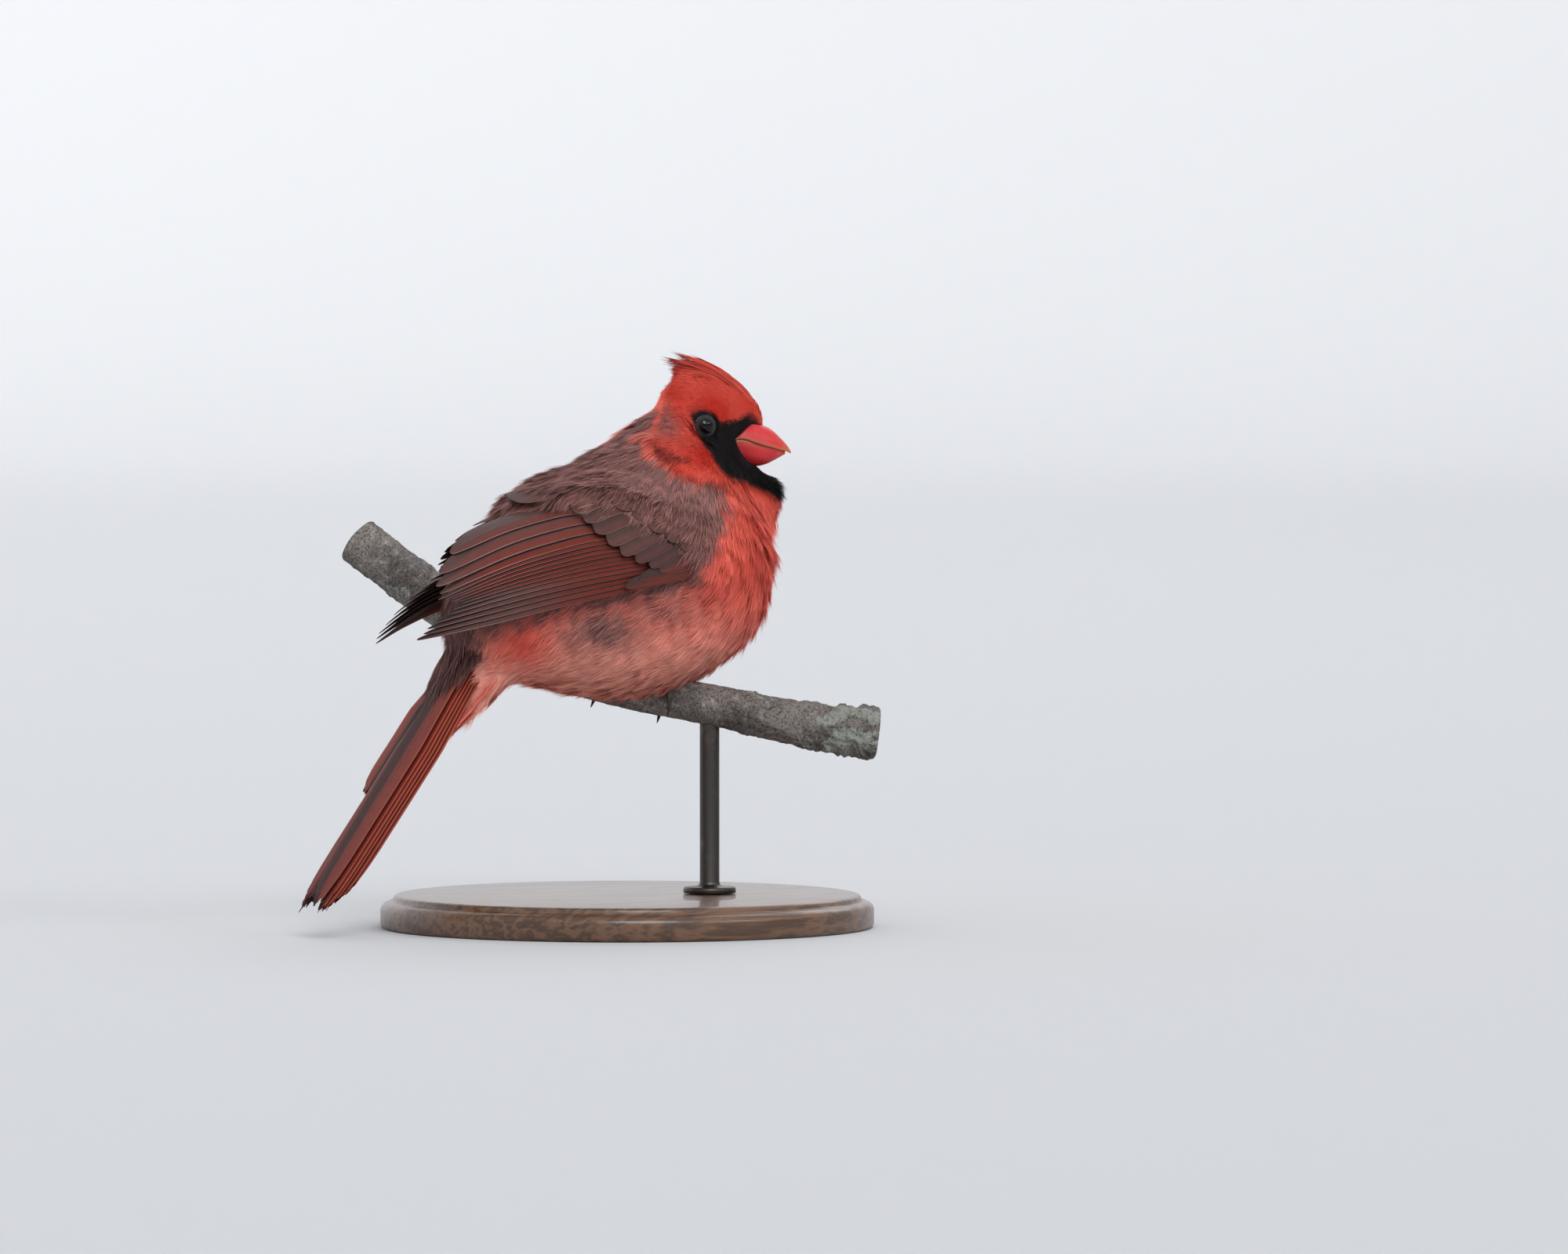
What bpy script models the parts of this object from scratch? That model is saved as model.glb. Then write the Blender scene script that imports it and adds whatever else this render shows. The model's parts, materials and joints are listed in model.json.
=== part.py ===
"""A male northern cardinal, life size, on a cut length of branch that a plain display stand holds.

Metres, +Z up. The body points along +X and its left side is +Y. The head is turned to the bird's right.
The origin is the middle of the base's underside. Tables are in millimetres and are read through MM.
"""

import math

import bmesh
import bpy
import numpy as np
from mathutils import Matrix, Vector
from mathutils.bvhtree import BVHTree

MM = 0.001
GAP = 0.3  # mm between neighbouring nodes
UP = Vector((0, 0, 1))

# The trunk, from the tail root to the top of the neck: back x, back z, breast x, breast z, half width.
TRUNK = [
    (-61.8, 84.6, -50.0, 75.2, 7.5),
    (-60.5, 104.0, -36.0, 75.0, 20.0),
    (-46.5, 122.0, -15.0, 70.8, 29.5),
    (-28.0, 137.0, 6.0, 70.0, 33.0),
    (-11.0, 145.0, 25.0, 76.0, 34.5),
    (1.0, 151.0, 40.0, 87.0, 34.0),
    (7.5, 156.0, 45.8, 102.0, 27.5),
    (12.0, 159.0, 47.8, 117.0, 17.5),
    (17.0, 159.0, 47.0, 130.0, 10.5),
    (24.0, 156.0, 41.0, 140.0, 7.0),
]
TRUNK_RINGS = 28
TRUNK_SIDES = 32

# The head in its own frame: along the bill, left and up from the middle between the eyes.
HEAD_CENTRE = (32.3, 0.0, 151.3)
HEAD_TURN = math.radians(-27)
# Along, half width, top, bottom, how much narrower the crown is than the cheek.
HEAD = [
    (-21.0, 5.0, 2.0, -7.0, 0.10),
    (-18.5, 9.8, 8.0, -12.0, 0.15),
    (-14.5, 12.9, 14.6, -15.0, 0.28),
    (-8.0, 13.6, 17.4, -17.0, 0.38),
    (-1.5, 12.2, 17.0, -18.0, 0.36),
    (3.0, 8.6, 15.4, -17.0, 0.20),
    (7.5, 4.9, 13.4, -13.0, -0.10),
    (11.5, 3.6, 10.4, -10.0, -0.15),
    (15.2, 2.2, 6.2, -8.0, -0.05),
]
HEAD_RINGS = 20
HEAD_SIDES = 24
THROAT_PLACE = (9.6, 0.0, -21.2)
THROAT_REACH = (10.8, 11.5, 9.4)

FORM_VOXEL = 2.6  # mm, the mesh of trunk and head as one form
FORM_SMOOTH = 8
FORM_KEPT = 0.165

# The planes that part torso, neck and head lean this far from level, and lie this far from the origin.
COLLAR_LEAN = math.radians(32)
NECK_PLANE = 126.5
FAR = 400.0
HEAD_PLANE = 134.5

EYE_ALONG = -4.6
EYE_UP = 1.0
EYE_FACES = (0.32, 0.05)  # how far ahead and up it looks, for 1 sideways
EYE_RADIUS = 3.4
EYE_STANDS_OUT = 1.1
LID_RADIUS = 3.0
LID_THICK = 0.5

# The bill in the head's frame: along, top, bottom, half width.
BILL_UPPER = [
    (3.0, 0.8, -4.7, 6.0),
    (5.5, 1.8, -3.3, 6.4),
    (8.5, 2.1, -3.5, 6.3),
    (12.0, 1.6, -4.7, 5.5),
    (16.0, -0.1, -5.8, 4.1),
    (19.0, -2.8, -6.6, 2.6),
    (21.2, -5.2, -7.2, 1.3),
    (22.4, -7.1, -7.8, 0.3),
]
BILL_LOWER = [
    (3.0, -5.1, -10.8, 6.0),
    (5.5, -3.7, -11.2, 6.2),
    (8.5, -3.9, -11.5, 6.0),
    (12.0, -5.1, -11.6, 4.9),
    (15.0, -5.9, -10.9, 3.8),
    (18.0, -6.7, -9.4, 2.3),
    (20.6, -7.4, -7.9, 0.5),
]
BILL_ROUNDNESS = 0.85
BILL_RINGS = 9
BILL_SIDES = 12
NOSTRIL = (12.6, 3.6, 0.0)
NOSTRIL_REACH = (0.9, 0.8, 0.45)

LID_LIFT = 0.15
LID_STEPS = 14
LID_SIDES = 5
LID_FLATTER = 0.94
CREST_ROOT_APART = (1.0, 0.38)
CREST_TIP_APART = (0.5, 0.16)
CREST_ROOF = 1.3
CREST_STAGGER = 0.7
CREST_SUNK = 2.2
CREST_WIDTH = 4.2
CREST_BULGE = (3.0, 0.0, 5.4)
CREST_EASE = 0.12
CREST_STATIONS = [(0.0, 0.9), (0.3, 1.0), (0.6, 0.9), (0.85, 0.5), (1.0, 0.05)]
CREST_ROWS = 6
CREST_ROOT_FRONT = 11.0
CREST_ROOT_STEP = 3.6
CREST_TIPS = [(-14.3, 23.4), (-17.5, 21.8), (-17.6, 20.8), (-15.6, 19.0), (-14.0, 17.2), (-13.9, 14.6)]

# The folded right wing's surface, from the bend (u 0) to the tips (u 1): x, y, z of its upper edge,
# of the point that its arch is drawn towards and of its lower edge. The left wing mirrors it.
WING_UPPER = [
    (6.0, -29.0, 121.0),
    (-8.0, -26.0, 128.0),
    (-22.5, -19.0, 130.0),
    (-36.5, -12.0, 126.5),
    (-51.7, -6.0, 121.0),
    (-69.4, -4.5, 112.0),
]
WING_ARCH = [
    (9.0, -31.5, 116.5),
    (-4.0, -35.5, 120.0),
    (-22.0, -37.0, 122.0),
    (-39.0, -33.0, 119.5),
    (-56.0, -25.0, 114.0),
    (-76.0, -13.0, 101.0),
]
WING_LOWER = [
    (10.7, -30.0, 110.5),
    (-0.3, -32.0, 107.6),
    (-20.9, -33.5, 103.3),
    (-41.8, -31.0, 98.8),
    (-59.9, -24.0, 93.7),
    (-80.3, -10.8, 87.8),
]
# Each tier of vanes: the height of their lower edges over the wing's surface in mm, how many spacings
# wide a vane is, and from the lowest vane up its root (u, v) and tip (u, v). v is 0 at the upper edge,
# 1 at the lower.
REMIGES = (2.6, 2.2, [
    ((0.40, 0.985), (1.000, 0.995)),
    ((0.40, 0.935), (0.985, 0.925)),
    ((0.40, 0.885), (0.965, 0.870)),
    ((0.40, 0.835), (0.940, 0.820)),
    ((0.40, 0.785), (0.915, 0.772)),
    ((0.40, 0.735), (0.905, 0.725)),
    ((0.40, 0.680), (0.925, 0.675)),
    ((0.40, 0.620), (0.950, 0.620)),
    ((0.40, 0.555), (0.970, 0.560)),
    ((0.40, 0.480), (0.985, 0.480)),
    ((0.40, 0.380), (0.985, 0.330)),
    ((0.40, 0.270), (0.960, 0.120)),
])
GREATER_COVERTS = (4.4, 1.6, [
    ((0.05, 0.985), (0.290, 0.985)),
    ((0.06, 0.930), (0.385, 0.925)),
    ((0.08, 0.870), (0.300, 0.860)),
    ((0.08, 0.790), (0.365, 0.790)),
    ((0.08, 0.690), (0.415, 0.690)),
    ((0.08, 0.570), (0.465, 0.500)),
    ((0.08, 0.430), (0.505, 0.290)),
])
MEDIAN_COVERTS = (5.8, 1.5, [
    ((0.04, 0.740), (0.225, 0.730)),
    ((0.04, 0.620), (0.285, 0.600)),
    ((0.04, 0.480), (0.335, 0.440)),
    ((0.04, 0.330), (0.375, 0.260)),
])
VANE_THICK = 0.55
SHINGLE_STEP = 0.9
LEAST_SPACING = 1.2
TIP_LOW = 0.4
VANE_STATIONS = [(0.0, 1.0), (0.34, 1.0), (0.64, 1.0), (0.86, 0.86), (0.96, 0.5), (1.0, 0.06)]
WING_CORE = [
    (-0.01, 0.2, -0.4),
    (0.05, 2.8, -4.0),
    (0.13, 4.3, -7.0),
    (0.22, 4.0, -7.0),
    (0.32, 3.3, -7.0),
    (0.42, 2.6, -6.0),
    (0.475, 1.0, -0.6),
]

LEFT_WING_SHIFT = (0.0, 0.8, -2.2)  # mm from the right wing's mirror image

CORE_PROFILE = [(0.0, 0.3), (0.14, 0.8), (0.32, 1.0), (0.52, 1.0), (0.72, 1.0), (0.87, 0.85), (0.985, 0.3)]

# The tail's line: where it leaves the body, and how far below level it points.
TAIL_ROOT = (-55.0, 0.0, 81.8)
TAIL_FALL = math.radians(53.4)
TAIL_TOP = 2.9
TAIL_STEP = 0.85
# Each pair from the middle out: how far the right one and the left one reach past the root.
TAIL_LENGTHS = [(90.0, 89.0), (91.0, 90.5), (90.0, 89.0), (88.5, 87.0), (86.0, 47.0), (83.0, 41.0)]
TAIL_HALF = 8.2
TAIL_SPREAD = 0.72
TAIL_INNER = 0.5
TAIL_POINT = 0.62
TAIL_ROOT_SHARE = 0.55
TAIL_VANE_START = -4.0
SHORT_VANE = 60.0
SHORT_VANE_OUT = 7.0
SHORT_VANE_INNER = 0.5
MIDDLE_PAIR_LAP = 0.7
TAIL_OPENS = 0.4  # of its length, where the tail reaches its full width
TAIL_STATIONS = [(0.0, 1.0), (0.4, 1.0), (0.75, 1.0), (0.92, 0.86), (0.98, 0.5), (1.0, 0.08)]
TAIL_ROOM = (110.0, 40.0)  # mm long and wide
TAIL_ROOM_MIDDLE = 45.0
TAIL_CORE_PLACE = (1.0, 0.0, 0.3)
TAIL_CORE_REACH = (9.0, 7.0, 3.4)
COVERT_CORE_PLACE = (-3.0, 0.0, 5.5)
COVERT_CORE_REACH = (9.0, 8.0, 3.6)
# Start, end, left, half width, how far out from the tail's middle.
UPPER_COVERTS = [
    (-5.0, 24.0, 0.0, 3.2, 5.6),
    (-5.0, 21.0, 3.4, 3.1, 4.75),
    (-5.0, 21.0, -3.4, 3.1, 4.75),
    (-5.0, 17.0, 6.9, 3.0, 3.9),
    (-5.0, 17.0, -6.9, 3.0, 3.9),
    (-6.0, 13.0, 1.8, 2.9, 6.5),
    (-6.0, 11.0, -1.8, 2.9, 7.4),
]
UNDER_COVERTS = [
    (-7.0, 24.0, 0.0, 4.2, 7.6),
    (-7.0, 20.0, 4.6, 4.0, 6.7),
    (-7.0, 20.0, -4.6, 4.0, 6.7),
    (-7.0, 14.0, 8.0, 3.2, 5.8),
    (-7.0, 14.0, -8.0, 3.2, 5.8),
    (-8.0, 13.0, 0.0, 3.8, 8.6),
]

# The branch: along the line across the picture, height, how far it bends away from that line, radius.
BRANCH_TURN = math.radians(-32)
BRANCH_MIDDLE = 2.5
BRANCH = [
    (-83.0, 116.5, 28.0, 7.3),
    (-71.0, 107.5, 23.0, 7.1),
    (-54.0, 95.4, 15.5, 6.8),
    (-38.0, 84.6, 7.5, 6.4),
    (-24.0, 79.3, 1.5, 6.3),
    (-9.5, 75.0, 0.0, 6.2),
    (4.8, 71.4, 0.0, 6.2),
    (23.8, 67.7, 0.0, 6.2),
    (47.6, 62.8, 0.5, 6.5),
    (62.0, 60.3, 1.5, 6.9),
    (76.0, 58.6, 2.5, 7.2),
]
BRANCH_RINGS = 28
BRANCH_SIDES = 12
FOOT_CLEAR = 34.0
BRANCH_UNEVEN = [(3, 0.11, 0.22), (5, -0.23, 0.16)]  # ridges round it, their twist a mm, height
# Each year's scar: along, half length, height.
BRANCH_SCARS = [(-66.0, 2.5, 0.5), (37.0, 2.2, 0.5), (55.0, 3.0, 0.7), (66.0, 2.5, 0.6), (73.0, 3.5, 0.9)]

FOOT_APART = 9.8  # mm along the branch, each way from the middle
TOE_RADIUS = 1.15
# Each toe: side of the branch it goes down (+1 the far side), reach round it, shift along it, length.
TOES = {
    "inner": (1, -6.0, 12.0),
    "middle": (1, -1.0, 16.5),
    "outer": (1, 5.0, 13.0),
    "hind": (-1, 1.0, 12.0),
}
CLAW_LENGTH = 6.5
CLAW_RADIUS = 0.85
HUB_REACH = (3.0, 3.2, 1.9)
TARSUS_RADIUS = 1.45
TARSUS_LENGTH = 13.0
STUB_LENGTH = 0.8
TOE_POINTS = 7
TOE_SIDES = 6
TOE_JOINTS = 2
TOE_KNUCKLE = 0.1
TOE_CLEAR = 0.1
FOOT_ROOM = (13.0, 12.5, 12.5)
CLAW_POINTS = 5
CLAW_BEND = 11.0
CLAW_TAPER = 0.8
CLAW_TIP = 0.08
NEAR_END = 0.9  # of a toe's length, where the claw's line is taken from
TOE_END = 0.78  # of its radius at the root
LEG_LEAN = (-0.12, 0.0, 1.0)

BASE_RADIUS = 75.0
BASE_THICK = 10.0
ROD_ALONG = 25.0
ROD_RADIUS = 3.0
ROD_OVERLAP = 2.0
# The rim of the base: how far in from its radius, and how high.
BASE_RIM = [(6.0, 10.0), (4.0, 9.4), (3.4, 8.0), (1.0, 7.4), (0.0, 6.0), (0.0, 1.2), (1.2, 0.0)]
# The flange at the rod's foot: how far out from the rod, and how high over its own underside.
FLANGE_RIM = [(0.0, 3.0), (1.0, 2.0), (4.4, 2.0), (5.0, 1.4), (5.0, 0.0)]
TURNED_STEPS = 32

COLOURS = {
    "red_plumage": ((0.55, 0.05, 0.03), 0.8),
    "breast_plumage": ((0.60, 0.12, 0.08), 0.8),
    "grey_plumage": ((0.20, 0.14, 0.12), 0.85),
    "wing_feathers": ((0.22, 0.09, 0.07), 0.7),
    "tail_feathers": ((0.25, 0.05, 0.04), 0.7),
    "bill_horn": ((0.62, 0.12, 0.08), 0.35),
    "eye_gloss": ((0.01, 0.01, 0.01), 0.08),
    "foot_skin": ((0.07, 0.05, 0.045), 0.6),
    "bark": ((0.12, 0.10, 0.09), 0.9),
    "stand_wood": ((0.16, 0.08, 0.04), 0.45),
    "stand_metal": ((0.10, 0.10, 0.11), 0.35),
}


def smooth(rows, t):
    """The rows of a table as one smooth curve, read at t from 0 to 1."""
    rows = np.asarray(rows, float)
    at = min(max(t, 0.0), 1.0) * (len(rows) - 1)
    i = min(int(at), len(rows) - 2)
    f = at - i
    before = rows[i - 1] if i else 2 * rows[0] - rows[1]
    after = rows[i + 2] if i + 2 < len(rows) else 2 * rows[-1] - rows[-2]
    a = 2 * rows[i]
    b = rows[i + 1] - before
    c = 2 * before - 5 * rows[i] + 4 * rows[i + 1] - after
    d = 3 * rows[i] - before - 3 * rows[i + 1] + after
    return 0.5 * (a + b * f + c * f**2 + d * f**3)


def blend(a, b, t):
    return a + (b - a) * t


def material(name):
    made = bpy.data.materials.get(name)
    if made is None:
        colour, roughness = COLOURS[name]
        made = bpy.data.materials.new(name)
        made.use_nodes = True
        shader = made.node_tree.nodes["Principled BSDF"]
        shader.inputs["Base Color"].default_value = (*colour, 1)
        shader.inputs["Roughness"].default_value = roughness
        shader.inputs["Metallic"].default_value = 1.0 if name == "stand_metal" else 0.0
    return made


def add_object(name, bm, home="working pieces"):
    """Turns a bmesh into an object of that name in the collection home."""
    bmesh.ops.recalc_face_normals(bm, faces=bm.faces)
    mesh = bpy.data.meshes.new(name)
    bm.to_mesh(mesh)
    bm.free()
    made = bpy.data.objects.new(name, mesh)
    bpy.data.collections[home].objects.link(made)
    return made


def evaluated(thing):
    bpy.context.view_layer.update()
    graph = bpy.context.evaluated_depsgraph_get()
    return bpy.data.meshes.new_from_object(thing.evaluated_get(graph))


def settle(thing):
    """Applies the object's modifiers and keeps its largest closed surface."""
    mesh = evaluated(thing)
    thing.modifiers.clear()
    thing.data = mesh
    bm = bmesh.new()
    bm.from_mesh(mesh)
    left = set(bm.faces)
    islands = []
    while left:
        seed = left.pop()
        island = [seed]
        stack = [seed]
        while stack:
            for edge in stack.pop().edges:
                for face in edge.link_faces:
                    if face in left:
                        left.discard(face)
                        island.append(face)
                        stack.append(face)
        islands.append(island)
    islands.sort(key=lambda faces: sum(f.calc_area() for f in faces))
    loose = [f for island in islands[:-1] for f in island]
    bmesh.ops.delete(bm, geom=loose, context="FACES")
    bmesh.ops.triangulate(bm, faces=bm.faces)
    bm.to_mesh(mesh)
    bm.free()
    return thing


def combine(thing, others, operation):
    """One Boolean of the thing with all the others, which are then removed."""
    bag = bpy.data.collections.new("bag")
    bpy.context.scene.collection.children.link(bag)
    for other in others:
        for home in list(other.users_collection):
            home.objects.unlink(other)
        bag.objects.link(other)
    step = thing.modifiers.new(operation, "BOOLEAN")
    step.operation = operation
    step.operand_type = "COLLECTION"
    step.collection = bag
    step.solver = "EXACT"
    settle(thing)
    for other in others:
        bpy.data.objects.remove(other)
    bpy.data.collections.remove(bag)
    return thing


def fuse(thing, others):
    return combine(thing, others, "UNION")


def cut(thing, cutters):
    return combine(thing, cutters, "DIFFERENCE")


def copy_of(thing, name, home="working pieces"):
    made = bpy.data.objects.new(name, thing.data.copy())
    bpy.data.collections[home].objects.link(made)
    return made


def finish(thing, name, colour, home="northern_cardinal"):
    """Names a finished node, gives it its material and puts it with the model."""
    for old in list(thing.users_collection):
        old.objects.unlink(thing)
    bpy.data.collections[home].objects.link(thing)
    thing.name = name
    thing.data.name = name
    thing.data.materials.clear()
    thing.data.materials.append(material(colour))
    return thing


def loft(rings):
    """A closed skin through rings of points that have one count of sides."""
    bm = bmesh.new()
    rows = [[bm.verts.new(Vector(p) * MM) for p in ring] for ring in rings]
    sides = len(rows[0])
    for a, b in zip(rows, rows[1:]):
        for k in range(sides):
            m = (k + 1) % sides
            bm.faces.new((a[k], a[m], b[m]))
            bm.faces.new((a[k], b[m], b[k]))
    for row in (rows[0], rows[-1]):
        middle = bm.verts.new(sum((v.co for v in row), Vector()) / sides)
        for k in range(sides):
            bm.faces.new((row[k], row[(k + 1) % sides], middle))
    return bm


def plate(rows):
    """A thin closed vane through rows of (one edge, other edge, outward normal), in mm."""
    bm = bmesh.new()
    rings = []
    for one, other, out in rows:
        half = out.normalized() * VANE_THICK / 2
        corners = (one + half, other + half, other - half, one - half)
        rings.append([bm.verts.new(p * MM) for p in corners])
    for a, b in zip(rings, rings[1:]):
        bm.faces.new((a[0], a[1], b[1]))
        bm.faces.new((a[0], b[1], b[0]))
        bm.faces.new((a[1], a[2], b[2]))
        bm.faces.new((a[1], b[2], b[1]))
        bm.faces.new((a[3], b[2], a[2]))
        bm.faces.new((a[3], b[3], b[2]))
        bm.faces.new((a[3], a[0], b[0]))
        bm.faces.new((a[3], b[0], b[3]))
    for ring in (rings[0], rings[-1]):
        bm.faces.new((ring[0], ring[1], ring[2]))
        bm.faces.new((ring[0], ring[2], ring[3]))
    return bm


def tube(path, radii, hint, sides=8):
    """A closed round rod along points in mm, one radius a point; hint(i) points away from its axis."""
    rings = []
    for i, point in enumerate(path):
        ahead = (path[min(i + 1, len(path) - 1)] - path[max(i - 1, 0)]).normalized()
        out = hint(i)
        out = (out - ahead * out.dot(ahead)).normalized()
        side = ahead.cross(out)
        ring = []
        for k in range(sides):
            a = 2 * math.pi * (k + 0.5) / sides
            ring.append(point + (out * math.cos(a) + side * math.sin(a)) * radii[i])
        rings.append(ring)
    return loft(rings)


def ellipsoid(centre, reach, turn=Matrix(), segments=16, rings=10):
    """A closed ball stretched to the reach each way, in mm, in a turned frame."""
    bm = bmesh.new()
    bmesh.ops.create_uvsphere(bm, u_segments=segments, v_segments=rings, radius=MM)
    place = Matrix.Translation(Vector(centre) * MM) @ turn @ Matrix.Diagonal((*reach, 1))
    bmesh.ops.transform(bm, matrix=place, verts=bm.verts)
    return bm


def turned(name, profile):
    """A turned piece from a profile of (radius, height) in mm, top to bottom."""
    mesh = bpy.data.meshes.new(name)
    points = [(r * MM, 0, z * MM) for r, z in profile]
    mesh.from_pydata(points, [(i, i + 1) for i in range(len(points) - 1)], [])
    made = bpy.data.objects.new(name, mesh)
    bpy.data.collections["working pieces"].objects.link(made)
    spin = made.modifiers.new("turn", "SCREW")
    spin.steps = TURNED_STEPS
    spin.render_steps = TURNED_STEPS
    spin.use_merge_vertices = True
    spin.merge_threshold = 0.00001
    spin.use_smooth_shade = True
    return settle(made)


def trunk_form():
    rings = []
    for i in range(TRUNK_RINGS):
        bx, bz, fx, fz, half = smooth(TRUNK, i / (TRUNK_RINGS - 1))
        back = Vector((bx, 0, bz))
        front = Vector((fx, 0, fz))
        ring = []
        for k in range(TRUNK_SIDES):
            a = 2 * math.pi * k / TRUNK_SIDES
            middle = (back + front) / 2 + (back - front) / 2 * math.sin(a)
            ring.append(middle + Vector((0, math.cos(a) * half, 0)))
        rings.append(ring)
    return loft(rings)


def head_place(along, left, up):
    """A point of the head's frame, in mm of the part's frame."""
    turn = Matrix.Rotation(HEAD_TURN, 3, "Z")
    return Vector(HEAD_CENTRE) + turn @ Vector((along, left, up))


def head_form():
    rings = []
    for i in range(HEAD_RINGS):
        along, half, top, bottom, crown = smooth(HEAD, i / (HEAD_RINGS - 1))
        ring = []
        for k in range(HEAD_SIDES):
            a = 2 * math.pi * k / HEAD_SIDES
            side = math.cos(a) * (1 - crown * math.sin(a)) * half
            ring.append(head_place(along, side, blend(bottom, top, (1 + math.sin(a)) / 2)))
        rings.append(ring)
    return loft(rings)


def whole_form():
    """Trunk, head and throat as one smooth form."""
    form = add_object("form", trunk_form())
    turn = Matrix.Rotation(HEAD_TURN, 4, "Z")
    head = add_object("head form", head_form())
    throat = add_object("throat form", ellipsoid(head_place(*THROAT_PLACE), THROAT_REACH, turn))
    fuse(form, [head, throat])
    mesh = form.modifiers.new("mesh", "REMESH")
    mesh.mode = "VOXEL"
    mesh.voxel_size = FORM_VOXEL * MM
    relax = form.modifiers.new("relax", "SMOOTH")
    relax.factor = 0.5
    relax.iterations = FORM_SMOOTH
    fewer = form.modifiers.new("fewer", "DECIMATE")
    fewer.ratio = FORM_KEPT
    return settle(form)


def grown(thing, by):
    """A copy whose surface lies outside the thing's by so many mm."""
    made = copy_of(thing, thing.name + " grown")
    bm = bmesh.new()
    bm.from_mesh(made.data)
    bm.normal_update()
    moves = [(v, v.normal * v.calc_shell_factor() * by * MM) for v in bm.verts]
    for v, move in moves:
        v.co += move
    bm.to_mesh(made.data)
    bm.free()
    return made


def slab(low, high):
    """All that lies between two collar planes, so many mm from the origin."""
    bm = bmesh.new()
    bmesh.ops.create_cube(bm, size=1)
    turn = Matrix.Rotation(COLLAR_LEAN, 4, "Y")
    size = Matrix.Diagonal((FAR * MM, FAR * MM, (high - low) * MM, 1))
    place = turn @ Matrix.Translation((0, 0, (low + high) / 2 * MM)) @ size
    bmesh.ops.transform(bm, matrix=place, verts=bm.verts)
    return add_object("slab", bm)


def bill_half(table, grow=0.0):
    """One half of the bill, rounded on its outer side and flat where the halves meet."""
    upper = table is BILL_UPPER
    rings = []
    for i in range(BILL_RINGS):
        along, top, bottom, half = smooth(table, i / (BILL_RINGS - 1))
        along += grow if i == BILL_RINGS - 1 else 0.0
        flat = bottom - grow if upper else top + grow
        peak = top + grow if upper else bottom - grow
        ring = []
        for k in range(BILL_SIDES):
            a = 2 * math.pi * (k + 0.5) / BILL_SIDES
            rise = max(math.sin(a), 0.0) ** BILL_ROUNDNESS
            ring.append(head_place(along, math.cos(a) * (half + grow), blend(flat, peak, rise)))
        rings.append(ring)
    return loft(rings)


def eye_places(form):
    """Each eye's middle and the way it looks, sunk in the form's own surface."""
    bm = bmesh.new()
    bm.from_mesh(form.data)
    tree = BVHTree.FromBMesh(bm)
    bm.free()
    places = {}
    for name, side in (("left", 1), ("right", -1)):
        middle = head_place(EYE_ALONG, 0, EYE_UP)
        sideways = head_place(EYE_ALONG, side, EYE_UP) - middle
        hit = tree.ray_cast(middle * MM, sideways)[0] / MM
        ahead, up = EYE_FACES
        outward = (head_place(EYE_ALONG + ahead, side, EYE_UP + up) - middle).normalized()
        places[name] = (hit - outward * (EYE_RADIUS - EYE_STANDS_OUT), outward)
    return places


def eyeball(centre, grow=0.0):
    return ellipsoid(centre, [EYE_RADIUS + grow] * 3, segments=14, rings=8)


def lid(centre, outward):
    """The ring of lid round an eye."""
    rim = centre + outward * (EYE_RADIUS - EYE_STANDS_OUT + LID_LIFT)
    across = outward.cross(UP).normalized()
    rise = across.cross(outward).normalized()
    bm = bmesh.new()
    rings = []
    for i in range(LID_STEPS):
        a = 2 * math.pi * i / LID_STEPS
        out = across * math.cos(a) + rise * math.sin(a) * LID_FLATTER
        ring = []
        for k in range(LID_SIDES):
            b = 2 * math.pi * (k + 0.5) / LID_SIDES
            point = rim + out * (LID_RADIUS + math.cos(b) * LID_THICK) + outward * math.sin(b) * LID_THICK
            ring.append(bm.verts.new(point * MM))
        rings.append(ring)
    for i in range(LID_STEPS):
        a, b = rings[i], rings[(i + 1) % LID_STEPS]
        for k in range(LID_SIDES):
            m = (k + 1) % LID_SIDES
            bm.faces.new((a[k], a[m], b[m], b[k]))
    return bm


def crest_vane(row, side):
    """One long feather of the crest, in an upright plane beside the crown's middle."""
    start = CREST_ROOT_FRONT - CREST_ROOT_STEP * row
    crown = float(np.interp(start, [r[0] for r in HEAD], [r[2] for r in HEAD]))
    apart = CREST_ROOT_APART[0] + CREST_ROOT_APART[1] * row
    tip_apart = CREST_TIP_APART[0] + CREST_TIP_APART[1] * row
    root = Vector((start, side * apart, crown - CREST_SUNK))
    tip_along, tip_up = CREST_TIPS[row]
    tip = Vector((tip_along + side * CREST_STAGGER, side * tip_apart, tip_up - abs(side) * CREST_STAGGER))
    bend = (root + tip) / 2 + Vector(CREST_BULGE) * (1 - row * CREST_EASE)
    rows = []
    for s, share in CREST_STATIONS:
        at = root * (1 - s) ** 2 + bend * 2 * s * (1 - s) + tip * s**2
        ahead = ((bend - root) * (1 - s) + (tip - bend) * s).normalized()
        level = Vector((ahead.z, 0, -ahead.x)) * CREST_WIDTH + Vector((0, side * CREST_ROOF, 0))
        level *= share / 2
        out = level.cross(ahead)
        out = head_place(*out) - head_place(0, 0, 0)
        rows.append((head_place(*(at + level)), head_place(*(at - level)), out))
    return plate(rows)


def crest_vanes():
    made = []
    for row in range(CREST_ROWS):
        for side in ((-1, 0, 1) if row == 0 else (-1, 1)):
            made.append(add_object("crest vane", crest_vane(row, side)))
    return made


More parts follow.
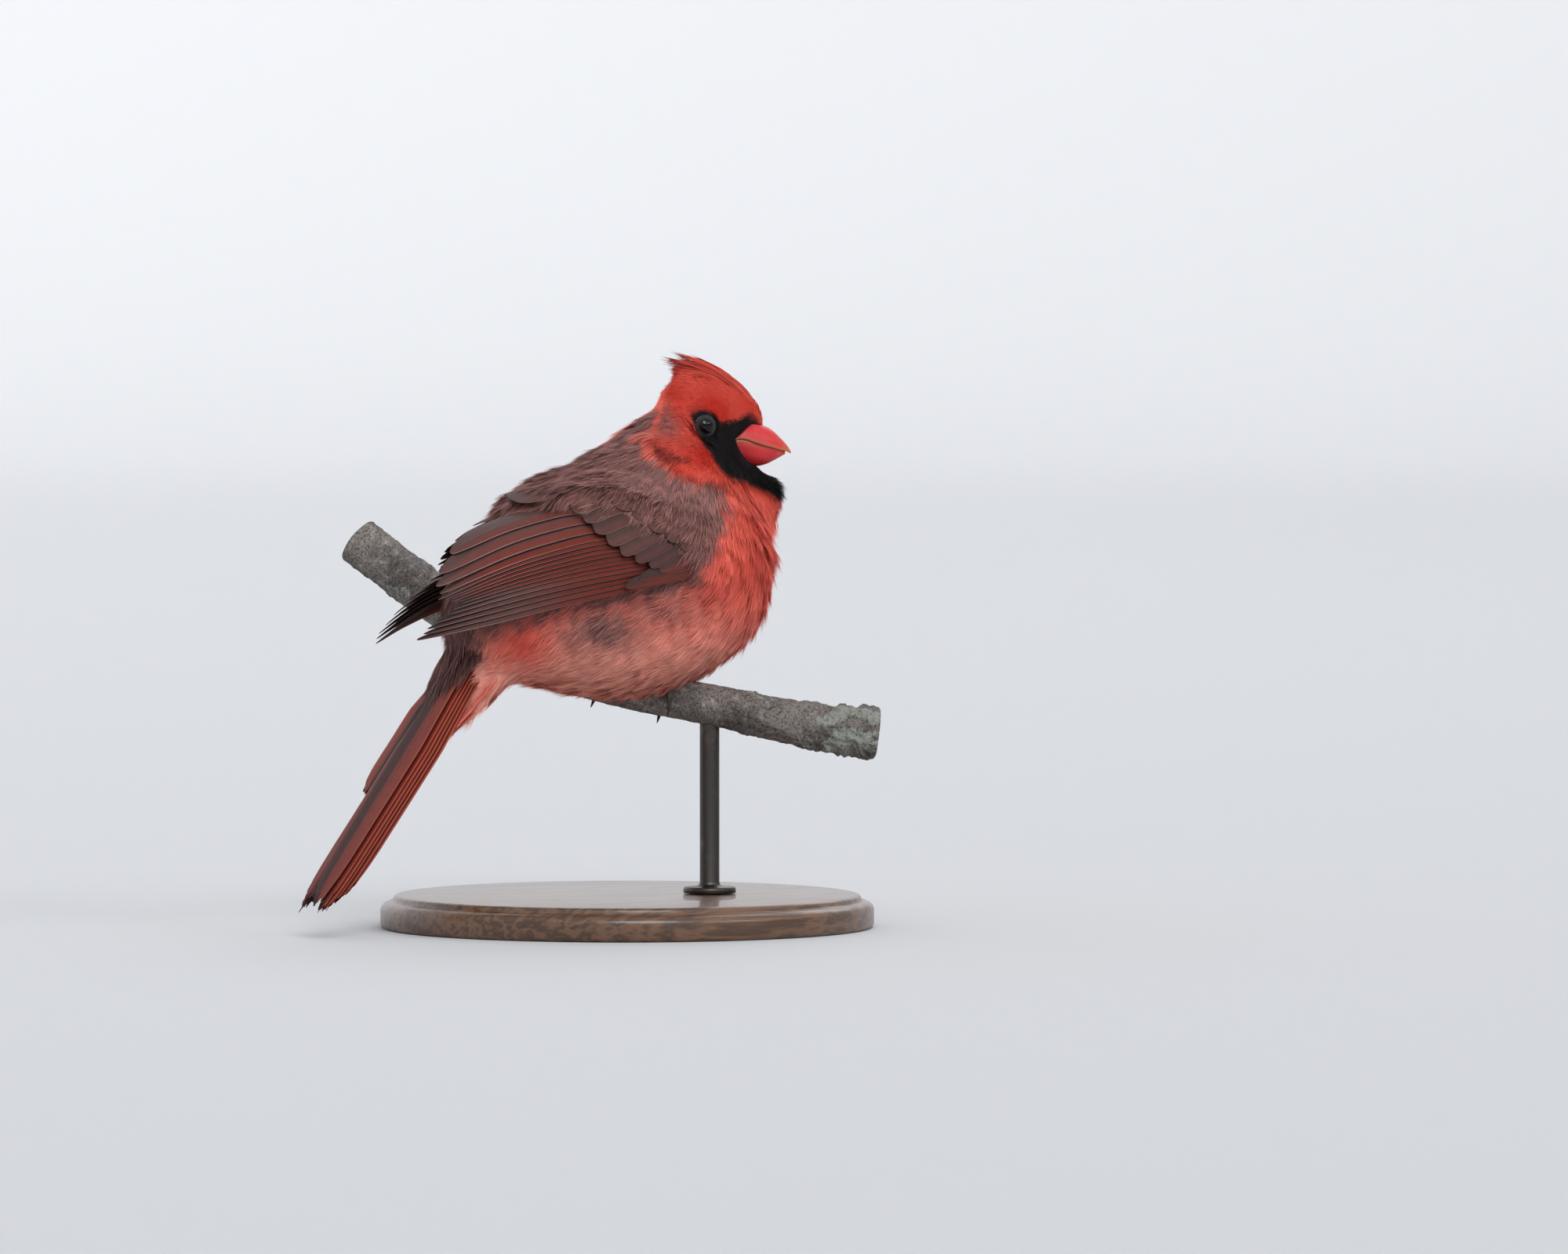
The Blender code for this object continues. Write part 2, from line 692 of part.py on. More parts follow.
def wing_surface(u, v, lift=0.0):
    """A point over the folded right wing's surface and the way it faces, in mm."""

    def at(u, v):
        upper, arch, lower = (Vector(smooth(rows, u)) for rows in (WING_UPPER, WING_ARCH, WING_LOWER))
        return upper * (1 - v) ** 2 + arch * 2 * v * (1 - v) + lower * v**2

    step = 0.01
    inside = min(max(u, step), 1 - step)
    ahead = at(inside + step, v) - at(inside - step, v)
    down = at(u, v + step) - at(u, v - step)
    out = down.cross(ahead).normalized()
    if out.y > 0:
        out = -out
    return at(u, v) + out * lift, out


def wing_depth(u):
    """How far it is over the wing's surface from its upper edge to its lower, in mm."""
    points = [wing_surface(u, i / 6)[0] for i in range(7)]
    return sum((b - a).length for a, b in zip(points, points[1:]))


def vane_line(edge, u):
    """Where a vane's lower edge runs at u."""
    (u0, v0), (u1, v1) = edge
    return blend(v0, v1, min(max((u - u0) / (u1 - u0), 0.0), 1.0))


def wing_vanes(tier):
    """A tier of overlapping vanes, each with its lower edge over the next one down."""
    height, reach, edges = tier
    made = []
    for k, edge in enumerate(edges):
        (u0, v0), (u1, v1) = edge
        above = edges[k + 1] if k + 1 < len(edges) else None
        rows = []
        for s, share in VANE_STATIONS:
            u = blend(u0, u1, s)
            v = blend(v0, v1, s)
            depth = wing_depth(u)
            if above:
                spacing = max((v - vane_line(above, u)) * depth, LEAST_SPACING)
            else:
                spacing = max((vane_line(edges[k - 1], u) - v) * depth, LEAST_SPACING)
            width = reach * spacing
            low = v - width * (1 - share) * TIP_LOW / depth
            high = low - width * share / depth
            slope = SHINGLE_STEP / spacing
            one, out = wing_surface(u, low, height - slope * (v - low) * depth)
            other, out = wing_surface(u, high, height - slope * (v - high) * depth)
            rows.append((one, other, out))
        made.append(add_object("vane", plate(rows)))
    return made


def wing_core():
    """The flesh that the wing's vanes grow from."""
    rings = []
    for u, outer, inner in WING_CORE:
        ring = []
        for v, share in CORE_PROFILE:
            ring.append(wing_surface(u, v, outer * share)[0])
        for v, share in reversed(CORE_PROFILE):
            ring.append(wing_surface(u, v, inner * share)[0])
        rings.append(ring)
    return add_object("wing core", loft(rings))


def mirrored(thing, name):
    """A copy of the thing on the bird's other side."""
    made = copy_of(thing, name)
    bm = bmesh.new()
    bm.from_mesh(made.data)
    for v in bm.verts:
        v.co.y = -v.co.y
    bmesh.ops.reverse_faces(bm, faces=bm.faces)
    bm.to_mesh(made.data)
    bm.free()
    return made


def tail_place(along, left, out):
    """A point of the tail's frame: along the tail, to the bird's left, out over its upper side."""
    down = Vector((-math.cos(TAIL_FALL), 0, -math.sin(TAIL_FALL)))
    over = Vector((-math.sin(TAIL_FALL), 0, math.cos(TAIL_FALL)))
    return Vector(TAIL_ROOT) + down * along + Vector((0, left, 0)) + over * out


def tail_vane(start, end, inner, outer, level):
    """One vane of the tail or its coverts between two edges, given as they lie at its middle."""
    out = tail_place(0, 0, 1) - tail_place(0, 0, 0)
    rows = []
    for s, share in TAIL_STATIONS:
        along = blend(start, end, s)
        middle = blend(inner, outer, TAIL_POINT)
        one = blend(middle, inner, share)
        other = blend(middle, outer, share)
        narrow = blend(TAIL_ROOT_SHARE, 1.0, min(s / TAIL_OPENS, 1.0))
        rows.append((tail_place(along, one * narrow, level), tail_place(along, other * narrow, level), out))
    return add_object("tail vane", plate(rows))


def tail_vanes():
    """Twelve vanes: the middle pair over all, the others under them, each a little further out."""
    made = []
    for pair, reaches in enumerate(TAIL_LENGTHS):
        for side, reach in zip((-1, 1), reaches):
            out = side * (TAIL_HALF + TAIL_SPREAD * pair)
            level = TAIL_TOP - TAIL_STEP * (pair + 1)
            inner = side * TAIL_INNER
            if pair == 0:
                inner = -side * TAIL_HALF * MIDDLE_PAIR_LAP
                level = TAIL_TOP - (TAIL_STEP if side < 0 else 0.0)
            if reach < SHORT_VANE:
                inner = out * SHORT_VANE_INNER
                out += side * SHORT_VANE_OUT
            made.append(tail_vane(TAIL_VANE_START, reach, inner, out, level))
    return made


def covert_vanes(table, side):
    """Coverts over (side +1) or under (side -1) the tail: start, end, left, half width, level."""
    made = []
    for start, end, left, half, level in table:
        made.append(tail_vane(start, end, left - half, left + half, side * level))
    return made


def branch_frame(along):
    """The branch's middle, its own direction, the way to its far side, up from it, and its radius."""
    first, last = BRANCH[0][0], BRANCH[-1][0]

    def at(along):
        where = np.interp(along, [r[0] for r in BRANCH], np.linspace(0, 1, len(BRANCH)))
        _, height, away, radius = smooth(BRANCH, where)
        line = Matrix.Rotation(BRANCH_TURN, 3, "Z")
        shift = along - BRANCH_MIDDLE * math.cos(BRANCH_TURN)
        return Vector((BRANCH_MIDDLE, 0, height)) + line @ Vector((shift, away, 0)), radius

    step = 0.5
    inside = min(max(along, first + step), last - step)
    ahead = (at(inside + step)[0] - at(inside - step)[0]).normalized()
    away = UP.cross(ahead).normalized()
    middle, radius = at(along)
    return middle, ahead, away, ahead.cross(away), radius


def branch(grow=0.0):
    """The length of branch: an uneven round rod with a swelling at each year's scar."""
    first = BRANCH[0][0] - grow
    last = BRANCH[-1][0] + grow
    rings = []
    for i in range(BRANCH_RINGS):
        along = blend(first, last, i / (BRANCH_RINGS - 1))
        middle, ahead, away, over, radius = branch_frame(along)
        clear = min(abs(along - BRANCH_MIDDLE) / FOOT_CLEAR, 1.0) ** 4
        swell = sum(h * math.exp(-((along - a) / w) ** 2) for a, w, h in BRANCH_SCARS)
        ring = []
        for k in range(BRANCH_SIDES):
            a = 2 * math.pi * k / BRANCH_SIDES
            uneven = sum(h * math.sin(n * a + turn * along) for n, turn, h in BRANCH_UNEVEN)
            r = radius + (swell + uneven) * clear + grow
            ring.append(middle + (away * math.cos(a) + over * math.sin(a)) * r)
        rings.append(ring)
    return loft(rings)


def round_branch(along, angle, lift):
    """A point over the branch's surface, angle being from its top down its far side."""
    middle, ahead, away, over, radius = branch_frame(along)
    out = away * math.sin(angle) + over * math.cos(angle)
    return middle + out * (radius + lift), out


def toe(foot_along, name):
    """One toe bent round the branch, with its knuckles."""
    way, shift, length = TOES[name]
    lift = TOE_RADIUS + GAP + TOE_CLEAR
    radius = branch_frame(foot_along)[4] + lift
    path = []
    outs = []
    radii = []
    for i in range(TOE_POINTS):
        s = i / (TOE_POINTS - 1)
        point, out = round_branch(foot_along + shift * s, way * length / radius * s, lift)
        path.append(point)
        outs.append(out)
        knuckle = TOE_KNUCKLE * math.cos(s * math.pi * 2 * TOE_JOINTS)
        radii.append(TOE_RADIUS * blend(1.0, TOE_END, s) + knuckle)
    return tube(path, radii, lambda i: outs[i], TOE_SIDES)


def claw(foot_along, name):
    """The claw that carries on from a toe's end, curved and tapered."""
    way, shift, length = TOES[name]
    lift = TOE_RADIUS + GAP + TOE_CLEAR
    radius = branch_frame(foot_along)[4] + lift
    end = length / radius
    start, out = round_branch(foot_along + shift, way * end, lift)
    before, _ = round_branch(foot_along + shift * NEAR_END, way * end * NEAR_END, lift)
    ahead = (start - before).normalized()
    path = []
    radii = []
    for i in range(CLAW_POINTS):
        s = i / (CLAW_POINTS - 1)
        far = CLAW_LENGTH * s
        bend = far**2 / (2 * CLAW_BEND)
        path.append(start + ahead * (GAP + far) - out * bend)
        radii.append(CLAW_RADIUS * (1 - s) ** CLAW_TAPER + CLAW_TIP)
    return tube(path, radii, lambda i: out, TOE_SIDES)


def hub_centre(foot_along):
    return round_branch(foot_along, 0.0, HUB_REACH[2] + GAP + TOE_CLEAR)[0]


def foot_room(foot_along):
    """The hollow that the belly's feathers leave round a foot."""
    turn = Matrix.Rotation(BRANCH_TURN, 4, "Z")
    middle = branch_frame(foot_along)[0]
    return add_object("foot room", ellipsoid(middle, FOOT_ROOM, turn, 14, 10))


def foot(foot_along):
    """Toes and the ball of the foot, as one piece."""
    turn = Matrix.Rotation(BRANCH_TURN, 4, "Z")
    ball = add_object("foot", ellipsoid(hub_centre(foot_along), HUB_REACH, turn, 10, 6))
    stub = [hub_centre(foot_along), hub_centre(foot_along) + UP * (HUB_REACH[2] + STUB_LENGTH)]
    stub_radii = [TARSUS_RADIUS] * 2
    pieces = [add_object("stub", tube(stub, stub_radii, lambda i: Vector((1, 0, 0)), 10))]
    for name in TOES:
        pieces.append(add_object("toe", toe(foot_along, name)))
    return fuse(ball, pieces)


def leg(foot_along, grow=0.0):
    """The part of the tarsus that shows between foot and belly, and its root in the belly."""
    low = hub_centre(foot_along) + UP * (HUB_REACH[2] + STUB_LENGTH + GAP - grow)
    lean = Vector(LEG_LEAN).normalized()
    path = [low + lean * (TARSUS_LENGTH + grow) * s for s in (0, 0.33, 0.67, 1)]
    radii = [r + grow for r in (TARSUS_RADIUS, TARSUS_RADIUS * 0.95, TARSUS_RADIUS, TARSUS_RADIUS * 1.2)]
    return add_object("leg", tube(path, radii, lambda i: Vector((1, 0, 0)), 10))


def build_body(form):
    """Torso, neck, head with crest and lids, bill and eyes."""
    neck = copy_of(form, "neck")
    head = copy_of(form, "head")
    eyes = eye_places(form)
    cut(neck, [slab(-FAR, NECK_PLANE + GAP / 2), slab(HEAD_PLANE - GAP / 2, FAR)])
    cut(head, [slab(-FAR, HEAD_PLANE + GAP / 2)])
    lids = [add_object("lid", lid(*eyes[name])) for name in eyes]
    fuse(head, crest_vanes() + lids)
    sockets = [add_object("socket", eyeball(eyes[name][0], GAP)) for name in eyes]
    cut(head, sockets + [add_object("gape", bill_half(table, GAP)) for table in (BILL_UPPER, BILL_LOWER)])
    finish(neck, "neck", "grey_plumage")
    finish(head, "head", "red_plumage")
    upper = add_object("bill", bill_half(BILL_UPPER))
    along, left, up = NOSTRIL
    turn = Matrix.Rotation(HEAD_TURN, 4, "Z")
    holes = []
    for side in (-1, 1):
        centre = head_place(along, side * left, up)
        holes.append(add_object("nostril", ellipsoid(centre, NOSTRIL_REACH, turn, 8, 6)))
    finish(cut(upper, holes), "bill_upper", "bill_horn")
    finish(settle(add_object("bill", bill_half(BILL_LOWER))), "bill_lower", "bill_horn")
    for name in eyes:
        finish(settle(add_object("eye", eyeball(eyes[name][0]))), "eye_" + name, "eye_gloss")


def build_tail(skin):
    """The tail's vanes and root, and the coverts over and under them."""
    turn = Matrix.Rotation(-TAIL_FALL, 4, "Y")
    root = add_object("tail", ellipsoid(tail_place(*TAIL_CORE_PLACE), TAIL_CORE_REACH, turn, 16, 10))
    tail = fuse(root, tail_vanes())
    cut(tail, [copy_of(skin, "skin")])
    finish(tail, "tail", "tail_feathers")
    for name, table, side in (("upper", UPPER_COVERTS, 1), ("under", UNDER_COVERTS, -1)):
        along, left, out = COVERT_CORE_PLACE
        centre = tail_place(along, left, out * side)
        coverts = add_object("coverts", ellipsoid(centre, COVERT_CORE_REACH, turn, 16, 10))
        fuse(coverts, covert_vanes(table, side))
        room = ellipsoid(tail_place(*TAIL_CORE_PLACE), [r + GAP for r in TAIL_CORE_REACH], turn, 16, 10)
        cut(coverts, [copy_of(skin, "skin"), add_object("room", room), tail_room()])
        finish(coverts, "tail_coverts_" + name, "grey_plumage" if side > 0 else "breast_plumage")


def tail_room():
    """The space that the tail's stack of vanes takes, with the gap round it."""
    bm = bmesh.new()
    bmesh.ops.create_cube(bm, size=1)
    top = TAIL_TOP + VANE_THICK / 2 + GAP
    low = TAIL_TOP - TAIL_STEP * len(TAIL_LENGTHS) - VANE_THICK / 2 - GAP
    turn = Matrix.Rotation(-TAIL_FALL, 4, "Y")
    long, wide = TAIL_ROOM
    size = Matrix.Diagonal((long * MM, wide * MM, (top - low) * MM, 1))
    place = Matrix.Translation(tail_place(TAIL_ROOM_MIDDLE, 0, (top + low) / 2) * MM) @ turn @ size
    bmesh.ops.transform(bm, matrix=place, verts=bm.verts)
    return add_object("tail room", bm)


def build_wings(skin):
    core = wing_core()
    vanes = []
    for tier in (REMIGES, GREATER_COVERTS, MEDIAN_COVERTS):
        vanes += wing_vanes(tier)
    right = fuse(core, vanes)
    left = mirrored(right, "left wing")
    for v in left.data.vertices:
        v.co += Vector(LEFT_WING_SHIFT) * MM
    for name, wing in (("right", right), ("left", left)):
        cut(wing, [copy_of(skin, "skin"), add_object("branch room", branch(GAP))])
        finish(wing, "wing_" + name, "wing_feathers")


def build_perch(torso):
    """The branch, with the feet on it, the legs and the belly's room for all of them."""
    rooms = [add_object("branch room", branch(GAP))]
    for name, side in (("right", 1), ("left", -1)):
        along = BRANCH_MIDDLE * math.cos(BRANCH_TURN) + side * FOOT_APART
        rooms.append(foot_room(along))
        rooms.append(leg(along, GAP))
        finish(foot(along), "foot_" + name, "foot_skin")
        finish(settle(leg(along)), "leg_" + name, "foot_skin")
        for toe_name in TOES:
            made = settle(add_object("claw", claw(along, toe_name)))
            finish(made, "claw_" + name + "_" + toe_name, "foot_skin")
    cut(torso, rooms)
    finish(settle(add_object("perch", branch())), "perch", "bark")


def build_stand():
    rim = [(BASE_RADIUS - inward, height) for inward, height in BASE_RIM]
    profile = [(0, BASE_THICK), *rim, (0, 0)]
    finish(turned("stand_base", profile), "stand_base", "stand_wood")
    low = BASE_THICK + GAP
    middle = branch_frame(ROD_ALONG)[0]
    high = middle.z - ROD_OVERLAP
    shape = [(0, high), (ROD_RADIUS, high)]
    shape += [(ROD_RADIUS + outward, low + height) for outward, height in FLANGE_RIM]
    shape += [(0, low)]
    rod = turned("rod", shape)
    for v in rod.data.vertices:
        v.co += Vector((middle.x, middle.y, 0)) * MM
    cut(rod, [add_object("branch room", branch(GAP))])
    finish(rod, "stand_rod", "stand_metal")


def main():
    for thing in list(bpy.data.objects):
        bpy.data.objects.remove(thing)
    for name in ("northern_cardinal", "working pieces"):
        home = bpy.data.collections.new(name)
        bpy.context.scene.collection.children.link(home)
    form = whole_form()
    skin = grown(form, GAP)
    build_body(form)
    build_wings(skin)
    build_tail(skin)
    cut(form, [slab(NECK_PLANE - GAP / 2, FAR)])
    build_perch(form)
    finish(form, "torso", "breast_plumage")
    build_stand()
    for thing in list(bpy.data.collections["working pieces"].objects):
        bpy.data.objects.remove(thing)


main()
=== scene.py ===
"""The looks of a life-size male northern cardinal on a cut branch and a plain display stand.

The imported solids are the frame. One skin replaces the flesh, a coat of solid tufts lies over it, and
crest, wings and tail are made feather by feather. Sizes are in millimetres and are turned into metres
where a mesh is made. The bird's body points along +X, its left side is +Y and its head is turned to
its right.
"""

import json
import logging
import math
from collections.abc import Sequence
from dataclasses import dataclass, field
from enum import Enum

import bmesh
import bpy
import numpy as np
from mathutils import Matrix, Vector

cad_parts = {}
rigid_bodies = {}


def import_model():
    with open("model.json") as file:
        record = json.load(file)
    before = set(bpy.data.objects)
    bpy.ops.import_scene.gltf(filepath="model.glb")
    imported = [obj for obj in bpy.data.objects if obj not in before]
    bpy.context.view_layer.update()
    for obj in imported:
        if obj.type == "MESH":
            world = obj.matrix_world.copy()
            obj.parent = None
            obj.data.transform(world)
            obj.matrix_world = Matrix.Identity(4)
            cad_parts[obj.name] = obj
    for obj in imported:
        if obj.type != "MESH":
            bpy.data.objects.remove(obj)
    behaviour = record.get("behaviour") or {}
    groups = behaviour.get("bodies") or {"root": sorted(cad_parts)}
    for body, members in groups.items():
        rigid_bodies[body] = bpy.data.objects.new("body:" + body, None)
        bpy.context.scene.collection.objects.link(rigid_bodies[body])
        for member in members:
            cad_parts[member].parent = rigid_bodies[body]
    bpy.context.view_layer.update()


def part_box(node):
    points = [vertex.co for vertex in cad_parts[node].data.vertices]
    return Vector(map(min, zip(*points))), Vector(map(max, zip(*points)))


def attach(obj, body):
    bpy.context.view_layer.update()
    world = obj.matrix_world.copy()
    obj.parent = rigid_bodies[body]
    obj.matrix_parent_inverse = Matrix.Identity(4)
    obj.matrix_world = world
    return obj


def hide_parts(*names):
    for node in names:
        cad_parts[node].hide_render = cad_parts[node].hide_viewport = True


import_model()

LOG = logging.getLogger("cardinal")
MM = 0.001
METRE = 1000
# The attributes of the skin that only the growing of the coat needs.
GROWTH_MARKS = ("lie", "long", "wide", "lift", "thick")
Array = np.ndarray
Colour = tuple[float, float, float]
Rows = list[tuple[float, ...]]


# Numbers and curves


def curve(rows: Sequence[Sequence[float]], t: Array) -> Array:
    """Reads the rows of a table as one smooth curve.

    Args:
        rows: points that the curve passes through, evenly spaced.
        t: where to read it, from 0 at the first row to 1 at the last.

    Returns:
        One row for each value of t.
    """
    table = np.asarray(rows, float)
    place = np.clip(np.asarray(t, float), 0, 1) * (len(table) - 1)
    i = np.minimum(place.astype(int), len(table) - 2)
    f = (place - i)[..., None]
    ends = (2 * table[:1] - table[1:2], table, 2 * table[-1:] - table[-2:-1])
    padded = np.concatenate(ends)
    p0, p1, p2, p3 = padded[i], padded[i + 1], padded[i + 2], padded[i + 3]
    bend = (2 * p0 - 5 * p1 + 4 * p2 - p3) * f**2
    twist = (3 * p1 - p0 - 3 * p2 + p3) * f**3
    return 0.5 * (2 * p1 + (p2 - p0) * f + bend + twist)


def ease(x: Array, low: float, high: float) -> Array:
    """Rises smoothly from 0 at low to 1 at high."""
    t = np.clip((np.asarray(x, float) - low) / (high - low), 0, 1)
    return t * t * (3 - 2 * t)


def blend(a: Array, b: Array, t: Array) -> Array:
    """The value between a and b at t."""
    return a + (b - a) * t


def unit(vectors: Array) -> Array:
    """The vectors at length 1."""
    return vectors / np.maximum(np.linalg.norm(vectors, axis=-1, keepdims=True), 1e-9)


def lumps(points: Array, size: float, seed: int, waves: int = 9) -> Array:
    """Smooth unevenness in space, from about -1 to 1.

    Args:
        points: where to read it, in millimetres.
        size: how far it is between lumps, in millimetres.
        seed: which unevenness it is.
        waves: how many waves are added up.

    Returns:
        One value for each point.
    """
    draw = np.random.default_rng(seed)
    ways = unit(draw.normal(size=(waves, 3))) * draw.uniform(0.7, 1.4, (waves, 1)) * 2 * math.pi / size
    turns = draw.uniform(0, 2 * math.pi, waves)
    return np.sin(points @ ways.T + turns).sum(-1) / math.sqrt(waves) / 1.2


def from_line(line: Sequence[tuple[float, float]], points: Array) -> Array:
    """The distance of points of a plane from a bent line."""
    corners = np.asarray(line, float)
    nearest = np.full(len(points), 1e9)
    for a, b in zip(corners, corners[1:]):
        along = b - a
        share = np.clip(((points - a) @ along) / (along @ along), 0, 1)
        nearest = np.minimum(nearest, np.linalg.norm(points - a - share[:, None] * along, axis=1))
    return nearest


def inside_outline(outline: Sequence[tuple[float, float]], points: Array) -> Array:
    """How deep points of a plane lie inside a closed outline.

    Args:
        outline: its corners in order.
        points: an array of pairs.

    Returns:
        The distance to the outline, above zero inside it.
    """
    closed = [*outline, outline[0]]
    nearest = from_line(closed, points)
    crossings = np.zeros(len(points), bool)
    for (x0, y0), (x1, y1) in zip(closed, closed[1:]):
        spans = (y0 > points[:, 1]) != (y1 > points[:, 1])
        rise = y1 - y0 if abs(y1 - y0) > 1e-9 else 1e-9
        crossings ^= spans & (points[:, 0] < x0 + (points[:, 1] - y0) / rise * (x1 - x0))
    return np.where(crossings, nearest, -nearest)


def spot(x: Array, y: Array, place: Sequence[float]) -> Array:
    """A soft patch, 1 in its middle, from its middle's x and y and its reach in x and y."""
    return np.exp(-(((x - place[0]) / place[2]) ** 2 + ((y - place[1]) / place[3]) ** 2))


def across_flank(points: Array) -> Array:
    """How far points lie along the picture's line across the bird, alike on both flanks."""
    return 0.848 * points[:, 0] + 0.53 * np.abs(points[:, 1])


def about_z(angle: float) -> Array:
    """A turn about the upright axis as a 3 by 3 array."""
    return np.array(Matrix.Rotation(angle, 3, "Z"))


def circle(count: int) -> Array:
    """Angles evenly round a circle."""
    return np.linspace(0, 2 * math.pi, count, endpoint=False)


def ball_rings(sides: int, pole: float, rings: int = 14) -> Array:
    """Rings of points on a ball of radius 1, from one pole's angle to the other's."""
    lat = np.linspace(pole, math.pi - pole, rings)[:, None]
    turn = circle(sides)
    return np.stack([np.sin(lat) * np.cos(turn), np.sin(lat) * np.sin(turn), np.cos(lat) + 0 * turn], -1)


def stations(rows: Rows, count: int) -> Array:
    """The columns of a table's curve at evenly spaced places, each upright."""
    return curve(rows, np.linspace(0, 1, count)).T[..., None]


def table(*rows: tuple[float, ...]) -> Rows:
    """A dataclass field that starts as these rows."""
    return field(default_factory=lambda: list(rows))


# Node trees


class Wire:
    """An output socket that can be used in arithmetic."""

    def __init__(self, graph: "Graph", socket: bpy.types.NodeSocket) -> None:
        """Keeps the socket and the graph that it belongs to."""
        self.graph = graph
        self.socket = socket

    def _math(self, operation: str, *values: "Wire | float", **settings: bool) -> "Wire":
        """Adds a Math node on the given values."""
        return self.graph.wire("ShaderNodeMath", {"operation": operation, **settings}, dict(enumerate(values)))

    def __add__(self, other: "Wire | float") -> "Wire":
        """Adds."""
        return self._math("ADD", self, other)

    __radd__ = __add__

    def __sub__(self, other: "Wire | float") -> "Wire":
        """Takes away."""
        return self._math("SUBTRACT", self, other)

    def __rsub__(self, other: float) -> "Wire":
        """Is taken away from a number."""
        return self._math("SUBTRACT", other, self)

    def __mul__(self, other: "Wire | float") -> "Wire":
        """Multiplies."""
        return self._math("MULTIPLY", self, other)

    __rmul__ = __mul__

    def sine(self) -> "Wire":
        """The sine."""
        return self._math("SINE", self)

    def held(self) -> "Wire":
        """The value kept between 0 and 1."""
        return self._math("ADD", self, 0.0, use_clamp=True)

    def between(self, low: float, high: float) -> "Wire":
        """Rises smoothly from 0 at low to 1 at high."""
        settings = {"interpolation_type": "SMOOTHSTEP"}
        return self.graph.wire("ShaderNodeMapRange", settings, {"Value": self, "From Min": low, "From Max": high})


class Graph:
    """A node tree and the one way in which nodes are added to it."""

    def __init__(self, tree: bpy.types.NodeTree) -> None:
        """Keeps the tree."""
        self.tree = tree

    def node(self, kind: str, settings: dict | None = None, sockets: dict | None = None) -> bpy.types.Node:
        """Adds a node.

        Args:
            kind: the node's type.
            settings: its properties, set first.
            sockets: a value or a wire for each input, by name or number.

        Returns:
            The node.
        """
        made = self.tree.nodes.new(kind)
        for name, value in (settings or {}).items():
            setattr(made, name, value)
        for key, value in (sockets or {}).items():
            if isinstance(value, Wire):
                self.tree.links.new(value.socket, made.inputs[key])
            elif isinstance(value, tuple) and made.inputs[key].type == "RGBA":
                made.inputs[key].default_value = (*value, 1)[:4]
            else:
                made.inputs[key].default_value = value
        return made

    def wire(
        self,
        kind: str,
        settings: dict | None = None,
        sockets: dict | None = None,
        output: str | int = 0,
    ) -> Wire:
        """Adds a node and gives one of its outputs."""
        return Wire(self, self.node(kind, settings, sockets).outputs[output])

    def mix(self, share: Wire | float, a: Wire | Colour, b: Wire | Colour, how: str = "MIX") -> Wire:
        """Mixes two colours."""
        return self.wire("ShaderNodeMix", {"data_type": "RGBA", "blend_type": how}, {0: share, 6: a, 7: b}, 2)

    def attribute(self, name: str, output: str = "Fac") -> Wire:
        """Reads an attribute of the mesh."""
        return self.wire("ShaderNodeAttribute", {"attribute_name": name}, {}, output)

    def parts(self, vector: Wire) -> tuple[Wire, Wire, Wire]:
        """The three numbers of a vector."""
        split = self.node("ShaderNodeSeparateXYZ", {}, {0: vector})
        return tuple(Wire(self, split.outputs[i]) for i in range(3))

    def shaded(self, colour: Wire, tone: Wire) -> Wire:
        """A colour made darker or brighter by a tone."""
        grey = self.wire("ShaderNodeCombineColor", {}, {0: tone, 1: tone, 2: tone})
        return self.mix(1.0, colour, grey, "MULTIPLY")

    def noise(self, place: Wire, scale: float, detail: float = 3.0, rough: float = 0.55) -> Wire:
        """Noise from 0 to 1 in space, scale being lumps in a metre."""
        sockets = {"Vector": place, "Scale": scale, "Detail": detail, "Roughness": rough}
        return self.wire("ShaderNodeTexNoise", {}, sockets)

    def place(self) -> Wire:
        """Object coordinates."""
        return self.wire("ShaderNodeTexCoord", {}, {}, "Object")

    def stretched(self, scale: Colour, turn: Colour = (0, 0, 0)) -> Wire:
        """Object coordinates, turned and scaled."""
        return self.wire("ShaderNodeMapping", {}, {"Vector": self.place(), "Rotation": turn, "Scale": scale})


class Finish:
    """A material whose nodes a class of its own draws."""

    name: str

    def draw(self, g: Graph) -> None:
        """Draws the nodes into an empty tree."""
        raise NotImplementedError

    def material(self) -> bpy.types.Material:
        """Builds the material."""
        made = bpy.data.materials.new(self.name)
        made.use_nodes = True
        made.node_tree.nodes.clear()
        self.draw(Graph(made.node_tree))
        return made


def finish_shader(graph: Graph, bump: Wire | None = None, depth: float = 0.0001, **sockets: object) -> None:
    """Ends a material in a Principled shader.

    Args:
        graph: the material's graph.
        bump: height of its relief from 0 to 1, if it has any.
        depth: the relief's depth in metres.
        sockets: the shader's inputs, with underscores for the spaces in their names.
    """
    inputs = {name.replace("_", " "): value for name, value in sockets.items()}
    if bump is not None:
        sizes = {"Height": bump, "Distance": depth, "Strength": 1.0}
        inputs["Normal"] = graph.wire("ShaderNodeBump", {}, sizes)
    shader = graph.wire("ShaderNodeBsdfPrincipled", {}, inputs)
    graph.node("ShaderNodeOutputMaterial", {}, {"Surface": shader})


# Finishes


